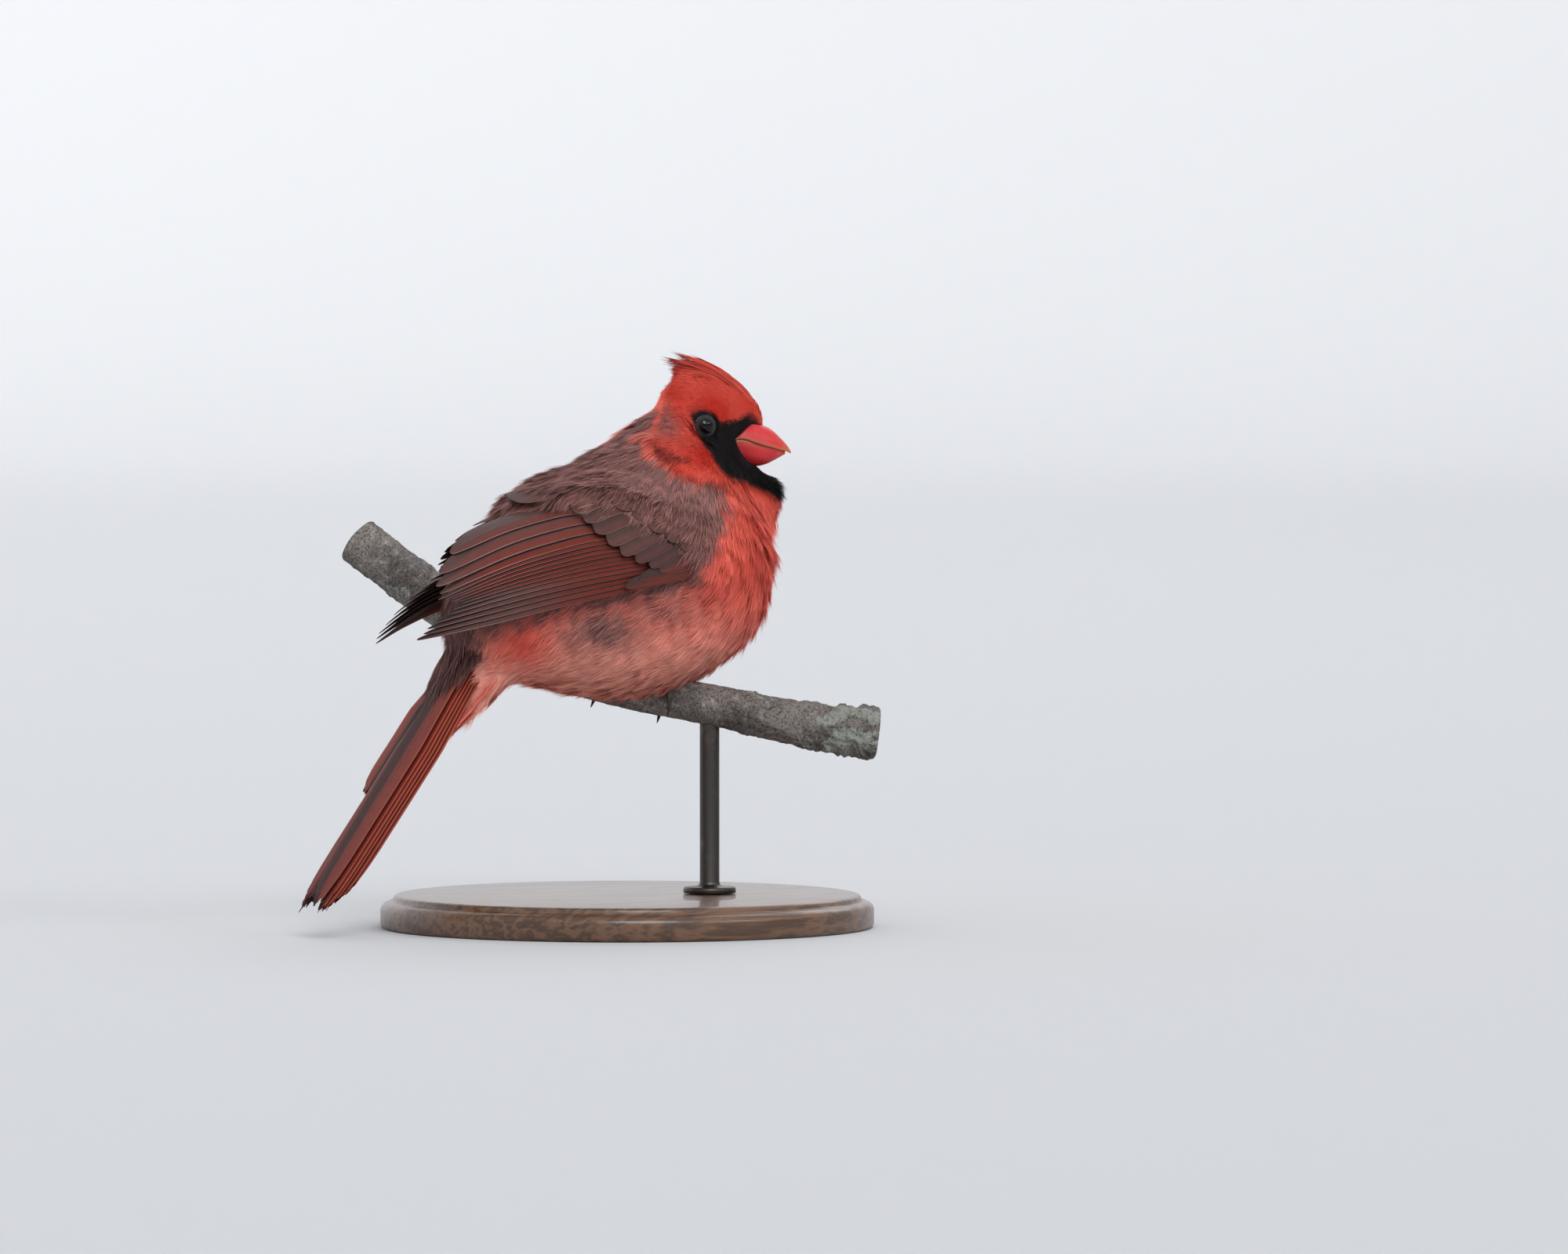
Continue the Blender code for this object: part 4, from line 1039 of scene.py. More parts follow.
    def skin(self) -> bpy.types.Object:
        """The skin under the coat, folded and hollowed, with every attribute that the coat reads."""
        skin = self.surface()
        mesh = skin.data
        points = points_of(mesh)
        out = normals_of(mesh)
        marks = Markings(self.head)
        face = marks.face(points)
        sunk = blend(self.coat_depth, self.face_depth, face)
        waves = lumps(points, 11.0, 3) * 0.6 + lumps(points, 5.0, 4) * 0.4
        moved = points + out * (waves * self.lumpy * (1 - 0.7 * face) - sunk - marks.folds(points))[:, None]
        for centre, looks in self.head.eyes().values():
            height, across = self.head.about_eye(moved, centre, looks)
            flat = moved + looks * (self.eye_bed - height)[:, None]
            share = (1 - ease(across, 3.6, 6.4)) * (height > -3.0)
            moved = blend(moved, flat, share[:, None])
        put_points(mesh, moved)
        out = normals_of(mesh)
        lie = Lie(self.head).direction(points, out)
        set_mark(mesh, "lie", lie)
        for name, values in marks.all(points, out, lie).items():
            set_mark(mesh, name, values)
        # The skin takes a tuft root's tone: painted shade under the coat.
        for name, value in (("along", 0.12), ("blade", 0.3), ("tuft", 0.3)):
            set_mark(mesh, name, np.full(len(points), value))
        self._unwrap(skin)
        return skin

    @staticmethod
    def _unwrap(skin: bpy.types.Object) -> None:
        """Unwraps the skin by its own shape, into the map that the tufts take their place from."""
        bpy.context.view_layer.objects.active = skin
        skin.select_set(True)
        skin.data.uv_layers.new(name="SkinUV")
        bpy.ops.object.mode_set(mode="EDIT")
        bpy.ops.mesh.select_all(action="SELECT")
        bpy.ops.uv.smart_project(angle_limit=math.radians(60), island_margin=0.004)
        bpy.ops.object.mode_set(mode="OBJECT")
        skin.select_set(False)


@dataclass
class Lie:
    """Which way the plumage lies, from a few places where it is known."""

    head: HeadFrame
    # The bird's right side: place, direction. The left side mirrors it.
    body: Rows = table(
        (8, -6, 156, -0.8, -0.1, -0.6), (-15, -10, 143, -0.9, -0.15, -0.4), (-40, -8, 125, -0.8, -0.05, -0.6),
        (-58, -5, 100, -0.5, 0, -0.87), (5, -28, 132, -0.35, -0.2, -0.9), (20, -26, 130, -0.12, -0.1, -1),
        (-10, -26, 134, -0.6, -0.2, -0.75), (12, -33, 118, -0.35, -0.1, -0.9), (-5, -37, 124, -0.75, 0, -0.65),
        (44, -8, 118, 0.0, 0, -1), (34, -24, 112, -0.2, -0.1, -1), (46, -6, 128, 0.1, 0, -1),
        (38, -12, 92, -0.45, 0, -0.9), (20, -32, 104, -0.6, 0, -0.8), (0, -33, 96, -0.9, 0, -0.42),
        (-25, -30, 92, -0.85, 0.1, -0.5), (10, -15, 72, -1, 0.05, -0.1), (-25, -15, 72, -0.9, 0.1, -0.35),
        (-48, -8, 76, -0.7, 0.05, -0.7), (30, -8, 80, -0.8, 0, -0.6), (26, -16, 140, -0.4, -0.2, -0.9),
        (-45, -18, 95, -0.75, 0.1, -0.65), (-58, -4, 84, -0.6, 0, -0.8), (-30, -24, 128, -0.85, -0.1, -0.5),
        (-50, -4, 68, -0.6, 0, -0.8), (-44, -10, 74, -0.65, 0.05, -0.75),
    )
    face: Rows = table(
        (13, -2, 6, -0.5, -0.1, 0.85), (6, -3, 13, -0.78, 0, 0.62), (-4, -3, 17, -0.95, 0, 0.28),
        (-13, -1, 19, -0.97, 0, 0.22), (0, -9, 9, -0.95, 0, 0.3), (-3, -11, 5, -1, 0, 0.12),
        (-15, -6, 12, -0.93, 0, 0.15), (-17, -9, 5, -0.9, -0.1, -0.35), (-19, -7, 0, -0.75, -0.1, -0.65),
        (5, -7, 0, -0.95, -0.25, -0.1), (10, -4, 2, -0.8, -0.2, 0.45), (4, -7, -7, -0.8, -0.3, -0.5),
        (-6, -13, -5, -0.85, -0.1, -0.5), (-14, -13, -5, -0.8, 0, -0.6), (10, -4, -14, -0.3, -0.15, -0.9),
        (12, -6, -22, -0.1, -0.1, -1), (0, -12, -16, -0.6, -0.2, -0.75), (-10, -14, -14, -0.75, -0.1, -0.65),
        (18, -2, -20, 0.2, -0.1, -0.95),
    )
    reach: float = 5.0
    sway: float = 0.22

    def direction(self, points: Array, out: Array) -> Array:
        """The lie at each point, along the surface.

        Args:
            points: places in millimetres.
            out: the way that the surface faces there.

        Returns:
            One unit vector for each point.
        """
        body = np.asarray(self.body, float)
        face = np.asarray(self.face, float)
        mirror = np.array((1, -1, 1))
        places, ways = [], []
        for sign in (np.ones(3), mirror):
            places += [body[:, :3] * sign, self.head.place(face[:, :3] * sign)]
            ways += [unit(body[:, 3:]) * sign, unit(face[:, 3:]) * sign @ self.head.matrix().T]
        places = np.concatenate(places)
        ways = np.concatenate(ways)
        apart = ((points[:, None] - places[None]) ** 2).sum(-1)
        weight = 1 / (apart + self.reach**2) ** 2
        lie = unit((weight[..., None] * ways[None]).sum(1))
        across = np.cross(out, lie)
        swing = lumps(points, 9.0, 11) * self.sway + lumps(points, 3.4, 12) * self.sway * 0.6
        lie = lie + across * swing[:, None]
        return unit(lie - (lie * out).sum(-1, keepdims=True) * out)


@dataclass
class Markings:
    """The marks of the plumage, for skin and coat alike.

    The head's outlines are (along, up) in its own frame. The body's are (across, up), where across runs
    from the tail's side to the breast's over either flank.
    """

    head: HeadFrame
    mask: Rows = table(
        (-3.4, 2.9), (-1.3, 2.1), (2.7, 2.2), (5.4, 2.8), (8.3, 3.7), (9.2, 5.1), (11.4, 3.5), (14.3, 1.2),
        (22, 0), (24, -22), (17.7, -21.6), (12.1, -18.4), (7.2, -15.8), (2.7, -14.7), (0.1, -13.6),
        (-1.7, -11.4), (-3.5, -8.3), (-5.3, -5.6), (-7.1, -3.0), (-7.4, -0.3), (-6.0, 2.6),
    )
    red_head: Rows = table(
        (-24, 30), (-15.5, 12.5), (-17.3, 6.4), (-19.2, 1.9), (-20.4, -0.8), (-25, -3.4), (-22.7, -8.7),
        (-15.1, -13.6), (-9.4, -15.6), (-3.5, -16.4), (2.6, -18.5), (9.7, -19.8), (17.3, -22.4), (34, -22),
        (34, 30),
    )
    mantle: Rows = table(
        (11, 163), (8.8, 153), (2.6, 148.6), (5.7, 143.5), (13.3, 138), (19, 136), (25, 135.5), (30, 132.5),
        (31, 127), (28, 118), (25, 110), (21, 103), (0, 99.5), (-24, 96), (-75, 78), (-75, 148), (-24, 167),
    )
    # Patches of the flank: across, up, reach across, reach up, how grey.
    flank: Rows = table(
        (-7.0, 91.5, 14.0, 7.0, 1.00), (10.0, 98.0, 15.0, 7.0, 0.70), (20.0, 106.0, 8.0, 9.0, 0.40),
        (4.0, 87.0, 15.0, 4.5, 0.25),
    )
    # Bright spots: across and up in the middle, reach across and up.
    ember: tuple[float, float, float, float] = (-31.0, 87.5, 11.0, 9.0)
    bright_crown: tuple[float, float, float, float] = (-2.0, 5.0, 7.0, 5.0)
    bright_cheek: tuple[float, float, float, float] = (-7.0, -8.0, 6.0, 5.0)
    # How far along a tuft, from its root, its colour is read.
    shows_at: float = 0.6
    crease: Rows = table((-21.9, -4.8), (-18.3, -7.0), (-15.3, -8.8), (-11.6, -9.2))
    cheek_edge: Rows = table(
        (-23.4, -4.8), (-20.8, -7.7), (-16.0, -12.9), (-8.6, -15.9), (0.3, -16.6),
    )
    cheek: Rows = table(
        (-23.4, -4.8), (-20.8, -7.7), (-16.0, -12.9), (-8.6, -15.9), (0.3, -16.6), (3.0, -12.0), (-5.0, 0.0),
        (-16.0, 4.0), (-25.0, 2.0),
    )

    def face(self, points: Array) -> Array:
        """1 on the face and crown, 0 on the body."""
        local = self.head.read(points)
        return ease(local[:, 2] + 0.45 * local[:, 0], -17.0, -7.0) * ease(local[:, 0], -22.0, -15.0)

    def folds(self, points: Array) -> Array:
        """How deep the creases round the cheek lie at each point, below zero where it stands out."""
        local = self.head.read(points)
        flat = local[:, [0, 2]]
        deep = 1.5 * np.exp(-((from_line(self.crease, flat) / 1.1) ** 2))
        apart = from_line(self.cheek_edge, flat)
        inside = inside_outline(self.cheek, flat) > 0
        deep += np.where(inside, -1.3 * np.exp(-((apart / 3.2) ** 2)), 1.4 * np.exp(-((apart / 1.8) ** 2)))
        near = ease(np.abs(local[:, 1]), 4, 8) * (1 - ease(np.abs(local[:, 1]), 19, 23))
        return deep * near

    def length(self, points: Array) -> Array:
        """How long the tufts are at each point, in millimetres."""
        local = self.head.read(points)
        face = self.face(points)
        long = blend(8.0, blend(3.6, 2.1, ease(local[:, 0], -4, 8)), face)
        crest = face * ease(local[:, 2], 9, 15) * (1 - ease(local[:, 0], 4, 10))
        long = blend(long, 4.2, crest)
        return long + self._belly(points) * 1.6 * (1 - face)

    @staticmethod
    def _belly(points: Array) -> Array:
        """1 on the underside, 0 above it."""
        return 1 - ease(points[:, 2], 72, 84)

    def all(self, points: Array, out: Array, lie: Array) -> dict[str, Array]:
        """Every attribute of the plumage. Colours are read where a tuft shows, some way past its root.

        Args:
            points: places in millimetres.
            out: the way that the surface faces there.
            lie: the way that the plumage lies there.

        Returns:
            marks, vivid, long (millimetres), wide, lift and thick for each point.
        """
        long = self.length(points)
        shown = points + lie * (long * self.shows_at)[:, None]
        return {**self._colours(points, shown), **self._growth(points, shown, out, long)}

    def _black_and_crease_shade(self, roots: Array, points: Array, flat: Array) -> Array:
        """How black the tufts are: mask and bib, a ring round each eye, and painted shadow in the crease behind the
        eye and under the cheek's lower edge.

        Args:
            roots: where the tufts grow.
            points: where they show.
            flat: the same places as (along, up) in the head's frame, made ragged.

        Returns:
            0 to 1 for each tuft.
        """
        local = self.head.read(points)
        black = ease(inside_outline(self.mask, flat), -0.35, 0.35) * ease(local[:, 0], -9, -7.5)
        black = black * ease(local[:, 2], -24.2, -22.6)
        beside = ease(np.abs(local[:, 1]), 4, 8)
        # Painted shadow: dark lines along the crease and along the cheek's lower edge.
        for line, share, width in ((self.crease, 0.95, 1.0), (self.cheek_edge, 0.70, 0.7)):
            black = np.maximum(black, share * beside * np.exp(-((from_line(line, flat) / width) ** 2)))
        for centre, _ in self.head.eyes().values():
            for place in (points, roots):
                black = np.maximum(black, 1 - ease(np.linalg.norm(place - centre, axis=1), 4.6, 5.2))
        return black

    def _colours(self, roots: Array, points: Array) -> dict[str, Array]:
        """The colours of tufts that grow at roots and show at points."""
        local = self.head.read(points)
        flat = local[:, [0, 2]] + np.stack([lumps(points, 2.2, 21), lumps(points, 2.2, 22)], 1) * 0.25
        cross = across_flank(points)
        ragged = np.stack([cross, points[:, 2]], 1)
        ragged = ragged + np.stack([lumps(points, 6.0, 23), lumps(points, 6.0, 24)], 1) * 1.3
        in_head = ease(local[:, 2] + 0.2 * local[:, 0], -24.0, -21.0) * (local[:, 0] > -27)
        red = ease(inside_outline(self.red_head, flat), -0.9, 0.9) * in_head

        patches = np.zeros(len(points))
        for *place, share in self.flank:
            patches = np.maximum(patches, share * spot(ragged[:, 0], ragged[:, 1], place))
        rump = ease(-ragged[:, 0], 40, 47) * ease(points[:, 2], 76, 82)
        nape = red * (1 - ease(local[:, 0] + 0.35 * local[:, 2], -17.5, -9)) * ease(local[:, 2], -7, 3) * 0.80
        grey = ease(inside_outline(self.mantle, ragged), -3.0, 2.6) * (1 - red)
        for part in (patches * (1 - red), rump, nape):
            grey = np.maximum(grey, part)
        black = np.maximum(self._black_and_crease_shade(roots, points, flat), rump * 0.35)

        breast = ease(cross, 27, 40) * ease(points[:, 2], 88, 112)
        ember = spot(cross, points[:, 2], self.ember)
        crown = 0.70 + 0.30 * spot(local[:, 0], local[:, 2], self.bright_crown)
        cheek = 0.62 + 0.38 * spot(local[:, 0], local[:, 2], self.bright_cheek)
        vivid = np.maximum(np.maximum(breast * 0.35, ember * 0.35), red * np.maximum(crown, cheek))
        vivid = vivid + lumps(points, 12.0, 25) * 0.12
        # Paler low down: partly the belly's own paler colour, partly painted light that stands in for light from
        # below.
        pale = (1 - ease(points[:, 2], 76, 104)) * (1 - ember) * (1 - 0.45 * ease(cross, 24, 40)) * (1 - red)
        marks = np.stack([black, np.clip(grey, 0, 1), np.clip(pale, 0, 1)], 1)
        return {"marks": marks, "vivid": np.clip(vivid, 0, 1)}

    def _growth(self, points: Array, shown: Array, out: Array, long: Array) -> dict[str, Array]:
        """How tufts grow.

        Args:
            points: their roots.
            shown: where they show.
            out: the way that the surface faces at their roots.
            long: their length before chin, throat and eyes are seen to.

        Returns:
            long, wide, lift and thick for each tuft.
        """
        local = self.head.read(points)
        face = self.face(points)
        lift = blend(0.10, 0.13, face) + 0.04 * lumps(points, 7.0, 26)
        lift = lift + 0.10 * self._belly(points) * (1 - face) * ease(points[:, 0], -44, -30)
        side = np.stack([across_flank(shown), shown[:, 2]], 1)
        lift = lift - 0.05 * ease(inside_outline(self.mantle, side), 0, 5) * (1 - face)
        thick = blend(1.0, 2.1, face)
        thick = blend(thick, 0.35, ease(-out[:, 2], 0.985, 1.0) * (1 - face))
        chin = ease(local[:, 0], 8, 13) * ease(local[:, 2], -24, -22) * (1 - ease(local[:, 2], -14.5, -12.5))
        lift = lift + 0.20 * chin
        long = blend(long, 4.6, chin)
        under = ease(local[:, 0], 2, 10) * ease(local[:, 2], -42, -32) * (1 - ease(local[:, 2], -25.5, -23))
        lift = lift + 0.10 * under
        long = blend(long, 10.5, under)
        for centre, looks in self.head.eyes().values():
            height, across = self.head.about_eye(points, centre, looks)
            thick = thick * (1 - (1 - ease(across, 3.45, 3.7)) * (height > -2))
            long = blend(1.4, long, ease(across, 3.7, 7.5) * (height > -2) + (height <= -2))
        bare = np.interp(local[:, 2], (-11.2, -5.5, 1.5), (8.6, 2.8, 10.4))
        in_bill = (local[:, 0] > bare) & (local[:, 2] < 2.3) & (local[:, 2] > -11.2) & (np.abs(local[:, 1]) < 6.4)
        thick = np.where(in_bill, 0.0, thick)
        return {"long": long, "wide": blend(1.0, 0.60, face), "lift": lift, "thick": thick}


# The coat


class Region(Enum):
    """The pieces of the coat, each small enough to stay whole in the export."""

    CROWN = "coat_crown"
    CHEEKS = "coat_cheeks"
    THROAT = "coat_throat"
    MANTLE = "coat_mantle"
    SHOULDERS = "coat_shoulders"
    BREAST = "coat_breast"
    FLANKS = "coat_flanks"
    BELLY = "coat_belly"


@dataclass
class Coat:
    """The body's small feathers: tufts of fine barbs that Geometry Nodes set over the skin."""

    head: HeadFrame
    blades: int = 9
    kinds: int = 5
    # A barb's width in millimetres on a tuft of the usual length.
    barb_width: float = 0.20
    usual_length: float = 6.0
    fan: float = 0.20
    root_spread: float = 0.55
    patch: float = 0.003
    softness: float = 0.82
    most_triangles: int = 176000
    seed: int = 5

    def _tufts(self) -> bpy.types.Collection:
        """A collection of tufts of length 1, with their barbs fanned out and curved down."""
        home = bpy.data.collections.new("tufts")
        draw = np.random.default_rng(self.seed)
        stops = np.array((0.0, 0.36, 0.72, 1.0))
        reach = np.repeat(stops, 2)[:-1]
        half = self.barb_width / 2 / self.usual_length * np.array((0.55, 1.0, 0.72, 0.0))
        faces = [(0, 1, 3, 2), (2, 3, 5, 4), (4, 5, 6)]
        for kind in range(self.kinds):
            sheaf = Sheaf(f"tuft_{kind}")
            for blade in range(self.blades):
                across = (blade + 0.5) / self.blades - 0.5 + draw.uniform(-0.04, 0.04)
                length = draw.uniform(0.72, 1.0) * (1 - 0.5 * across**2)
                turn = across * self.fan * 2 + draw.uniform(-0.05, 0.05)
                sway = draw.uniform(-0.09, 0.09)
                roll = draw.uniform(-0.25, 0.25)
                rise = draw.uniform(0.02, 0.07)
                back = draw.uniform(-0.12, 0.1)
                along = stops * length
                spine = np.stack([
                    across * self.root_spread / self.usual_length * 2.4 + np.sin(turn) * along + sway * along**2,
                    back + np.cos(turn) * along,
                    rise * np.sin(stops * math.pi * 0.78) - 0.03,
                ], 1)
                edge = np.stack([np.cos(roll) * half, 0 * half, np.sin(roll) * half], 1)
                points = np.stack([spine - edge, spine + edge], 1).reshape(-1, 3)[:-1]
                points[-1] = spine[-1]
                patch = np.stack([across + (points[:, 0] - spine[0, 0]) * 2, reach - 0.5, 0 * reach], 1)
                tone = np.full(len(points), draw.uniform(0, 1))
                # along darkens each barb towards its root as painted shade.
                sheaf.add(points * METRE, faces, along=reach, blade=tone, patch=np.clip(patch, -0.5, 0.5))
            made = sheaf.build()
            bpy.context.scene.collection.objects.unlink(made)
            home.objects.link(made)
        return home

    def _tree(self) -> tuple[bpy.types.GeometryNodeTree, dict[str, str]]:
        """The tree that sets tufts over a skin, and each input's identifier by name."""
        tree = bpy.data.node_groups.new("set_tufts", "GeometryNodeTree")
        face = tree.interface
        face.new_socket("Geometry", in_out="INPUT", socket_type="NodeSocketGeometry")
        inputs = {
            "Tufts": "NodeSocketCollection", "Density": "NodeSocketFloat", "Unevenness": "NodeSocketFloat",
            "Patch": "NodeSocketFloat", "Seed": "NodeSocketInt", "Finish": "NodeSocketMaterial",
        }
        names = {
            name: face.new_socket(name, in_out="INPUT", socket_type=kind).identifier for name, kind in inputs.items()
        }
        face.new_socket("Geometry", in_out="OUTPUT", socket_type="NodeSocketGeometry")
        g = Graph(tree)
        given = g.node("NodeGroupInput")
        ask = {name: Wire(g, given.outputs[name]) for name in ("Geometry", *inputs)}

        def read(name: str, kind: str = "FLOAT") -> Wire:
            """An attribute of the skin."""
            return g.wire("GeometryNodeInputNamedAttribute", {"data_type": kind}, {"Name": name})

        def stored(shape: Wire, name: str, value: Wire, kind: str, domain: str = "POINT") -> Wire:
            """The shape with an attribute stored on it."""
            sockets = {"Geometry": shape, "Name": name, "Value": value}
            return g.wire("GeometryNodeStoreNamedAttribute", {"data_type": kind, "domain": domain}, sockets)

        def chance(low: float, high: float, shift: int) -> Wire:
            """A number drawn for each tuft."""
            sockets = {2: low, 3: high, "Seed": ask["Seed"] + shift}
            return g.wire("FunctionNodeRandomValue", {"data_type": "FLOAT"}, sockets, 1)

        spread = g.node("GeometryNodeDistributePointsOnFaces", {"distribute_method": "RANDOM"}, {
            "Mesh": ask["Geometry"], "Density": ask["Density"] * read("thick"), "Seed": ask["Seed"],
        })
        normal = Wire(g, spread.outputs["Normal"])
        points = stored(Wire(g, spread.outputs["Points"]), "tuft", chance(0.0, 1.0, 1), "FLOAT")
        points = stored(points, "up", normal, "FLOAT_VECTOR")
        settings = {"primary_axis": "Z", "secondary_axis": "Y"}
        axes = {"Primary Axis": normal, "Secondary Axis": read("lie", "FLOAT_VECTOR")}
        turn = g.wire("FunctionNodeAxesToRotation", settings, axes)
        uneven = ask["Unevenness"]
        tilt = read("lift") + chance(-0.06, 0.09, 2) * uneven
        angles = {0: tilt, 1: chance(-0.10, 0.10, 3) * uneven, 2: chance(-0.13, 0.13, 4) * uneven}
        swing = g.wire("FunctionNodeEulerToRotation", {}, {0: g.wire("ShaderNodeCombineXYZ", {}, angles)})
        turn = g.wire("FunctionNodeRotateRotation", {"rotation_space": "LOCAL"}, {0: turn, 1: swing})
        long = read("long") * chance(0.78, 1.2, 5) * MM
        wide = read("wide") * chance(0.85, 1.2, 6) * (6.2 * MM)
        size = g.wire("ShaderNodeCombineXYZ", {}, {0: wide, 1: long, 2: long})
        settings = {"transform_space": "ORIGINAL"}
        sockets = {"Collection": ask["Tufts"], "Separate Children": True, "Reset Children": True}
        tufts = g.wire("GeometryNodeCollectionInfo", settings, sockets)
        which = {4: 0, 5: self.kinds - 1, "Seed": ask["Seed"] + 7}
        choice = g.wire("FunctionNodeRandomValue", {"data_type": "INT"}, which, 2)
        placed = g.wire("GeometryNodeInstanceOnPoints", {}, {
            "Points": points, "Instance": tufts, "Pick Instance": True, "Instance Index": choice,
            "Rotation": turn, "Scale": size,
        })
        real = g.wire("GeometryNodeRealizeInstances", {}, {"Geometry": placed})
        patch = read("patch", "FLOAT_VECTOR")
        shift = g.wire("ShaderNodeVectorMath", {"operation": "SCALE"}, {0: patch, "Scale": ask["Patch"]})
        place = {0: read("SkinUV", "FLOAT_VECTOR"), 1: shift}
        real = stored(real, "OFBake", g.wire("ShaderNodeVectorMath", {"operation": "ADD"}, place), "FLOAT2", "CORNER")
        done = g.wire("GeometryNodeSetMaterial", {}, {"Geometry": real, "Material": ask["Finish"]})
        g.node("NodeGroupOutput", {}, {"Geometry": done})
        return tree, names

    def _regions(self, skin: bpy.types.Object) -> dict[Region, Array]:
        """Which faces of the skin each piece of the coat grows from, cut at heights and lines in millimetres."""
        middle = numbers_of(skin.data.polygons, "center") / MM
        local = self.head.read(middle)
        face = Markings(self.head).face(middle) > 0.5
        cross = across_flank(middle)
        crown = face & (local[:, 2] > 4.0)
        cheeks = face & ~crown & (local[:, 2] > -11)
        throat = ~crown & ~cheeks & (local[:, 2] > -27) & (local[:, 0] > -14)
        rest = ~(crown | cheeks | throat)
        mantle = rest & (middle[:, 2] > 118) & (cross < 6)
        shoulders = rest & ~mantle & (middle[:, 2] > 103) & (cross < 31)
        breast = rest & ~mantle & ~shoulders & (cross >= 24)
        flanks = rest & ~mantle & ~shoulders & ~breast & (middle[:, 2] > 84)
        belly = rest & ~mantle & ~shoulders & ~breast & ~flanks
        masks = (crown, cheeks, throat, mantle, shoulders, breast, flanks, belly)
        return dict(zip(Region, masks))

    def grow(self, skin: bpy.types.Object, finish: bpy.types.Material) -> list[bpy.types.Object]:
        """Grows the coat over the skin.

        Args:
            skin: the skin, with its attributes.
            finish: the plumage.

        Returns:
            One plain mesh for each region.
        """
        tufts = self._tufts()
        tree, names = self._tree()
        # Two squares and a triangle for each barb.
        each = self.blades * 5
        grown = []
        for number, (region, chosen) in enumerate(self._regions(skin).items()):
            bm = bmesh.new()
            bm.from_mesh(skin.data)
            bm.faces.ensure_lookup_table()
            bmesh.ops.delete(bm, geom=[f for f in bm.faces if not chosen[f.index]], context="FACES")
            weight = bm.verts.layers.float["thick"]
            area = sum(f.calc_area() * sum(v[weight] for v in f.verts) / len(f.verts) for f in bm.faces)
            mesh = bpy.data.meshes.new(region.value)
            bm.to_mesh(mesh)
            bm.free()
            made = placed(region.value, mesh)
            step = made.modifiers.new("tufts", "NODES")
            step.node_group = tree
            settings = {
                "Tufts": tufts, "Density": self.most_triangles / each / area, "Unevenness": 1.0,
                "Patch": self.patch, "Seed": self.seed + 13 * number, "Finish": finish,
            }
            for name, value in settings.items():
                step[names[name]] = value
            settled(made)
            self._soften(made.data)
            drop_marks(made.data, *GROWTH_MARKS, "patch", "up", "SkinUV")
            grown.append(made)
        for tuft in list(tufts.objects):
            bpy.data.objects.remove(tuft)
        bpy.data.collections.remove(tufts)
        return grown

    def _soften(self, mesh: bpy.types.Mesh) -> None:
        """Turns the barbs' shading normals towards the skin's own, as light spreads through soft plumage."""
        up = numbers_of(mesh.attributes["up"].data, "vector")
        normals = unit(blend(normals_of(mesh), up, self.softness))
        mesh.normals_split_custom_set_from_vertices(normals.astype(np.float32))


# Feathers


@dataclass
class Sheet:
    """How a stiff feather's vane is cut: its stations, its width there, and how its edges are worn."""

    stations: int = 30
    columns: int = 9
    full_to: float = 0.62
    bluntness: float = 3.2
    least: float = 0.05
    shaft: float = 0.34
    camber: float = 0.35
    ridge: float = 0.16
    fray: float = 0.035

    def shares(self) -> tuple[Array, Array]:
        """The stations along the vane and its share of its full width there."""
        s = 1 - (1 - np.linspace(0, 1, self.stations)) ** 1.5
        taper = np.clip((s - self.full_to) / (1 - self.full_to), 0, 1) ** self.bluntness
        return s, np.maximum(np.sqrt(1 - taper), self.least)

    def relief(self, t: Array) -> Array:
        """How far the vane's middle stands over its edges, with the shaft's ridge."""
        return self.camber * 4 * t * (1 - t) + self.ridge * np.exp(-(((t - self.shaft) / 0.035) ** 2))

    def columns_at(self) -> Array:
        """Where the columns lie across the vane, with three of them at the shaft."""
        even = np.linspace(0, 1, self.columns)
        return np.sort(np.concatenate([even, self.shaft + np.array((-0.04, 0.0, 0.04))]))


@dataclass
class Tier:
    """A row of the wing's feathers."""

    # How high it lies, how far a vane reaches over the next, and how far it stands over it.
    height: float
    reach: float
    step: float
    # From the lowest up, each feather's root and its tip as (u, v).
    edges: Rows
    least_spacing: float = 1.2


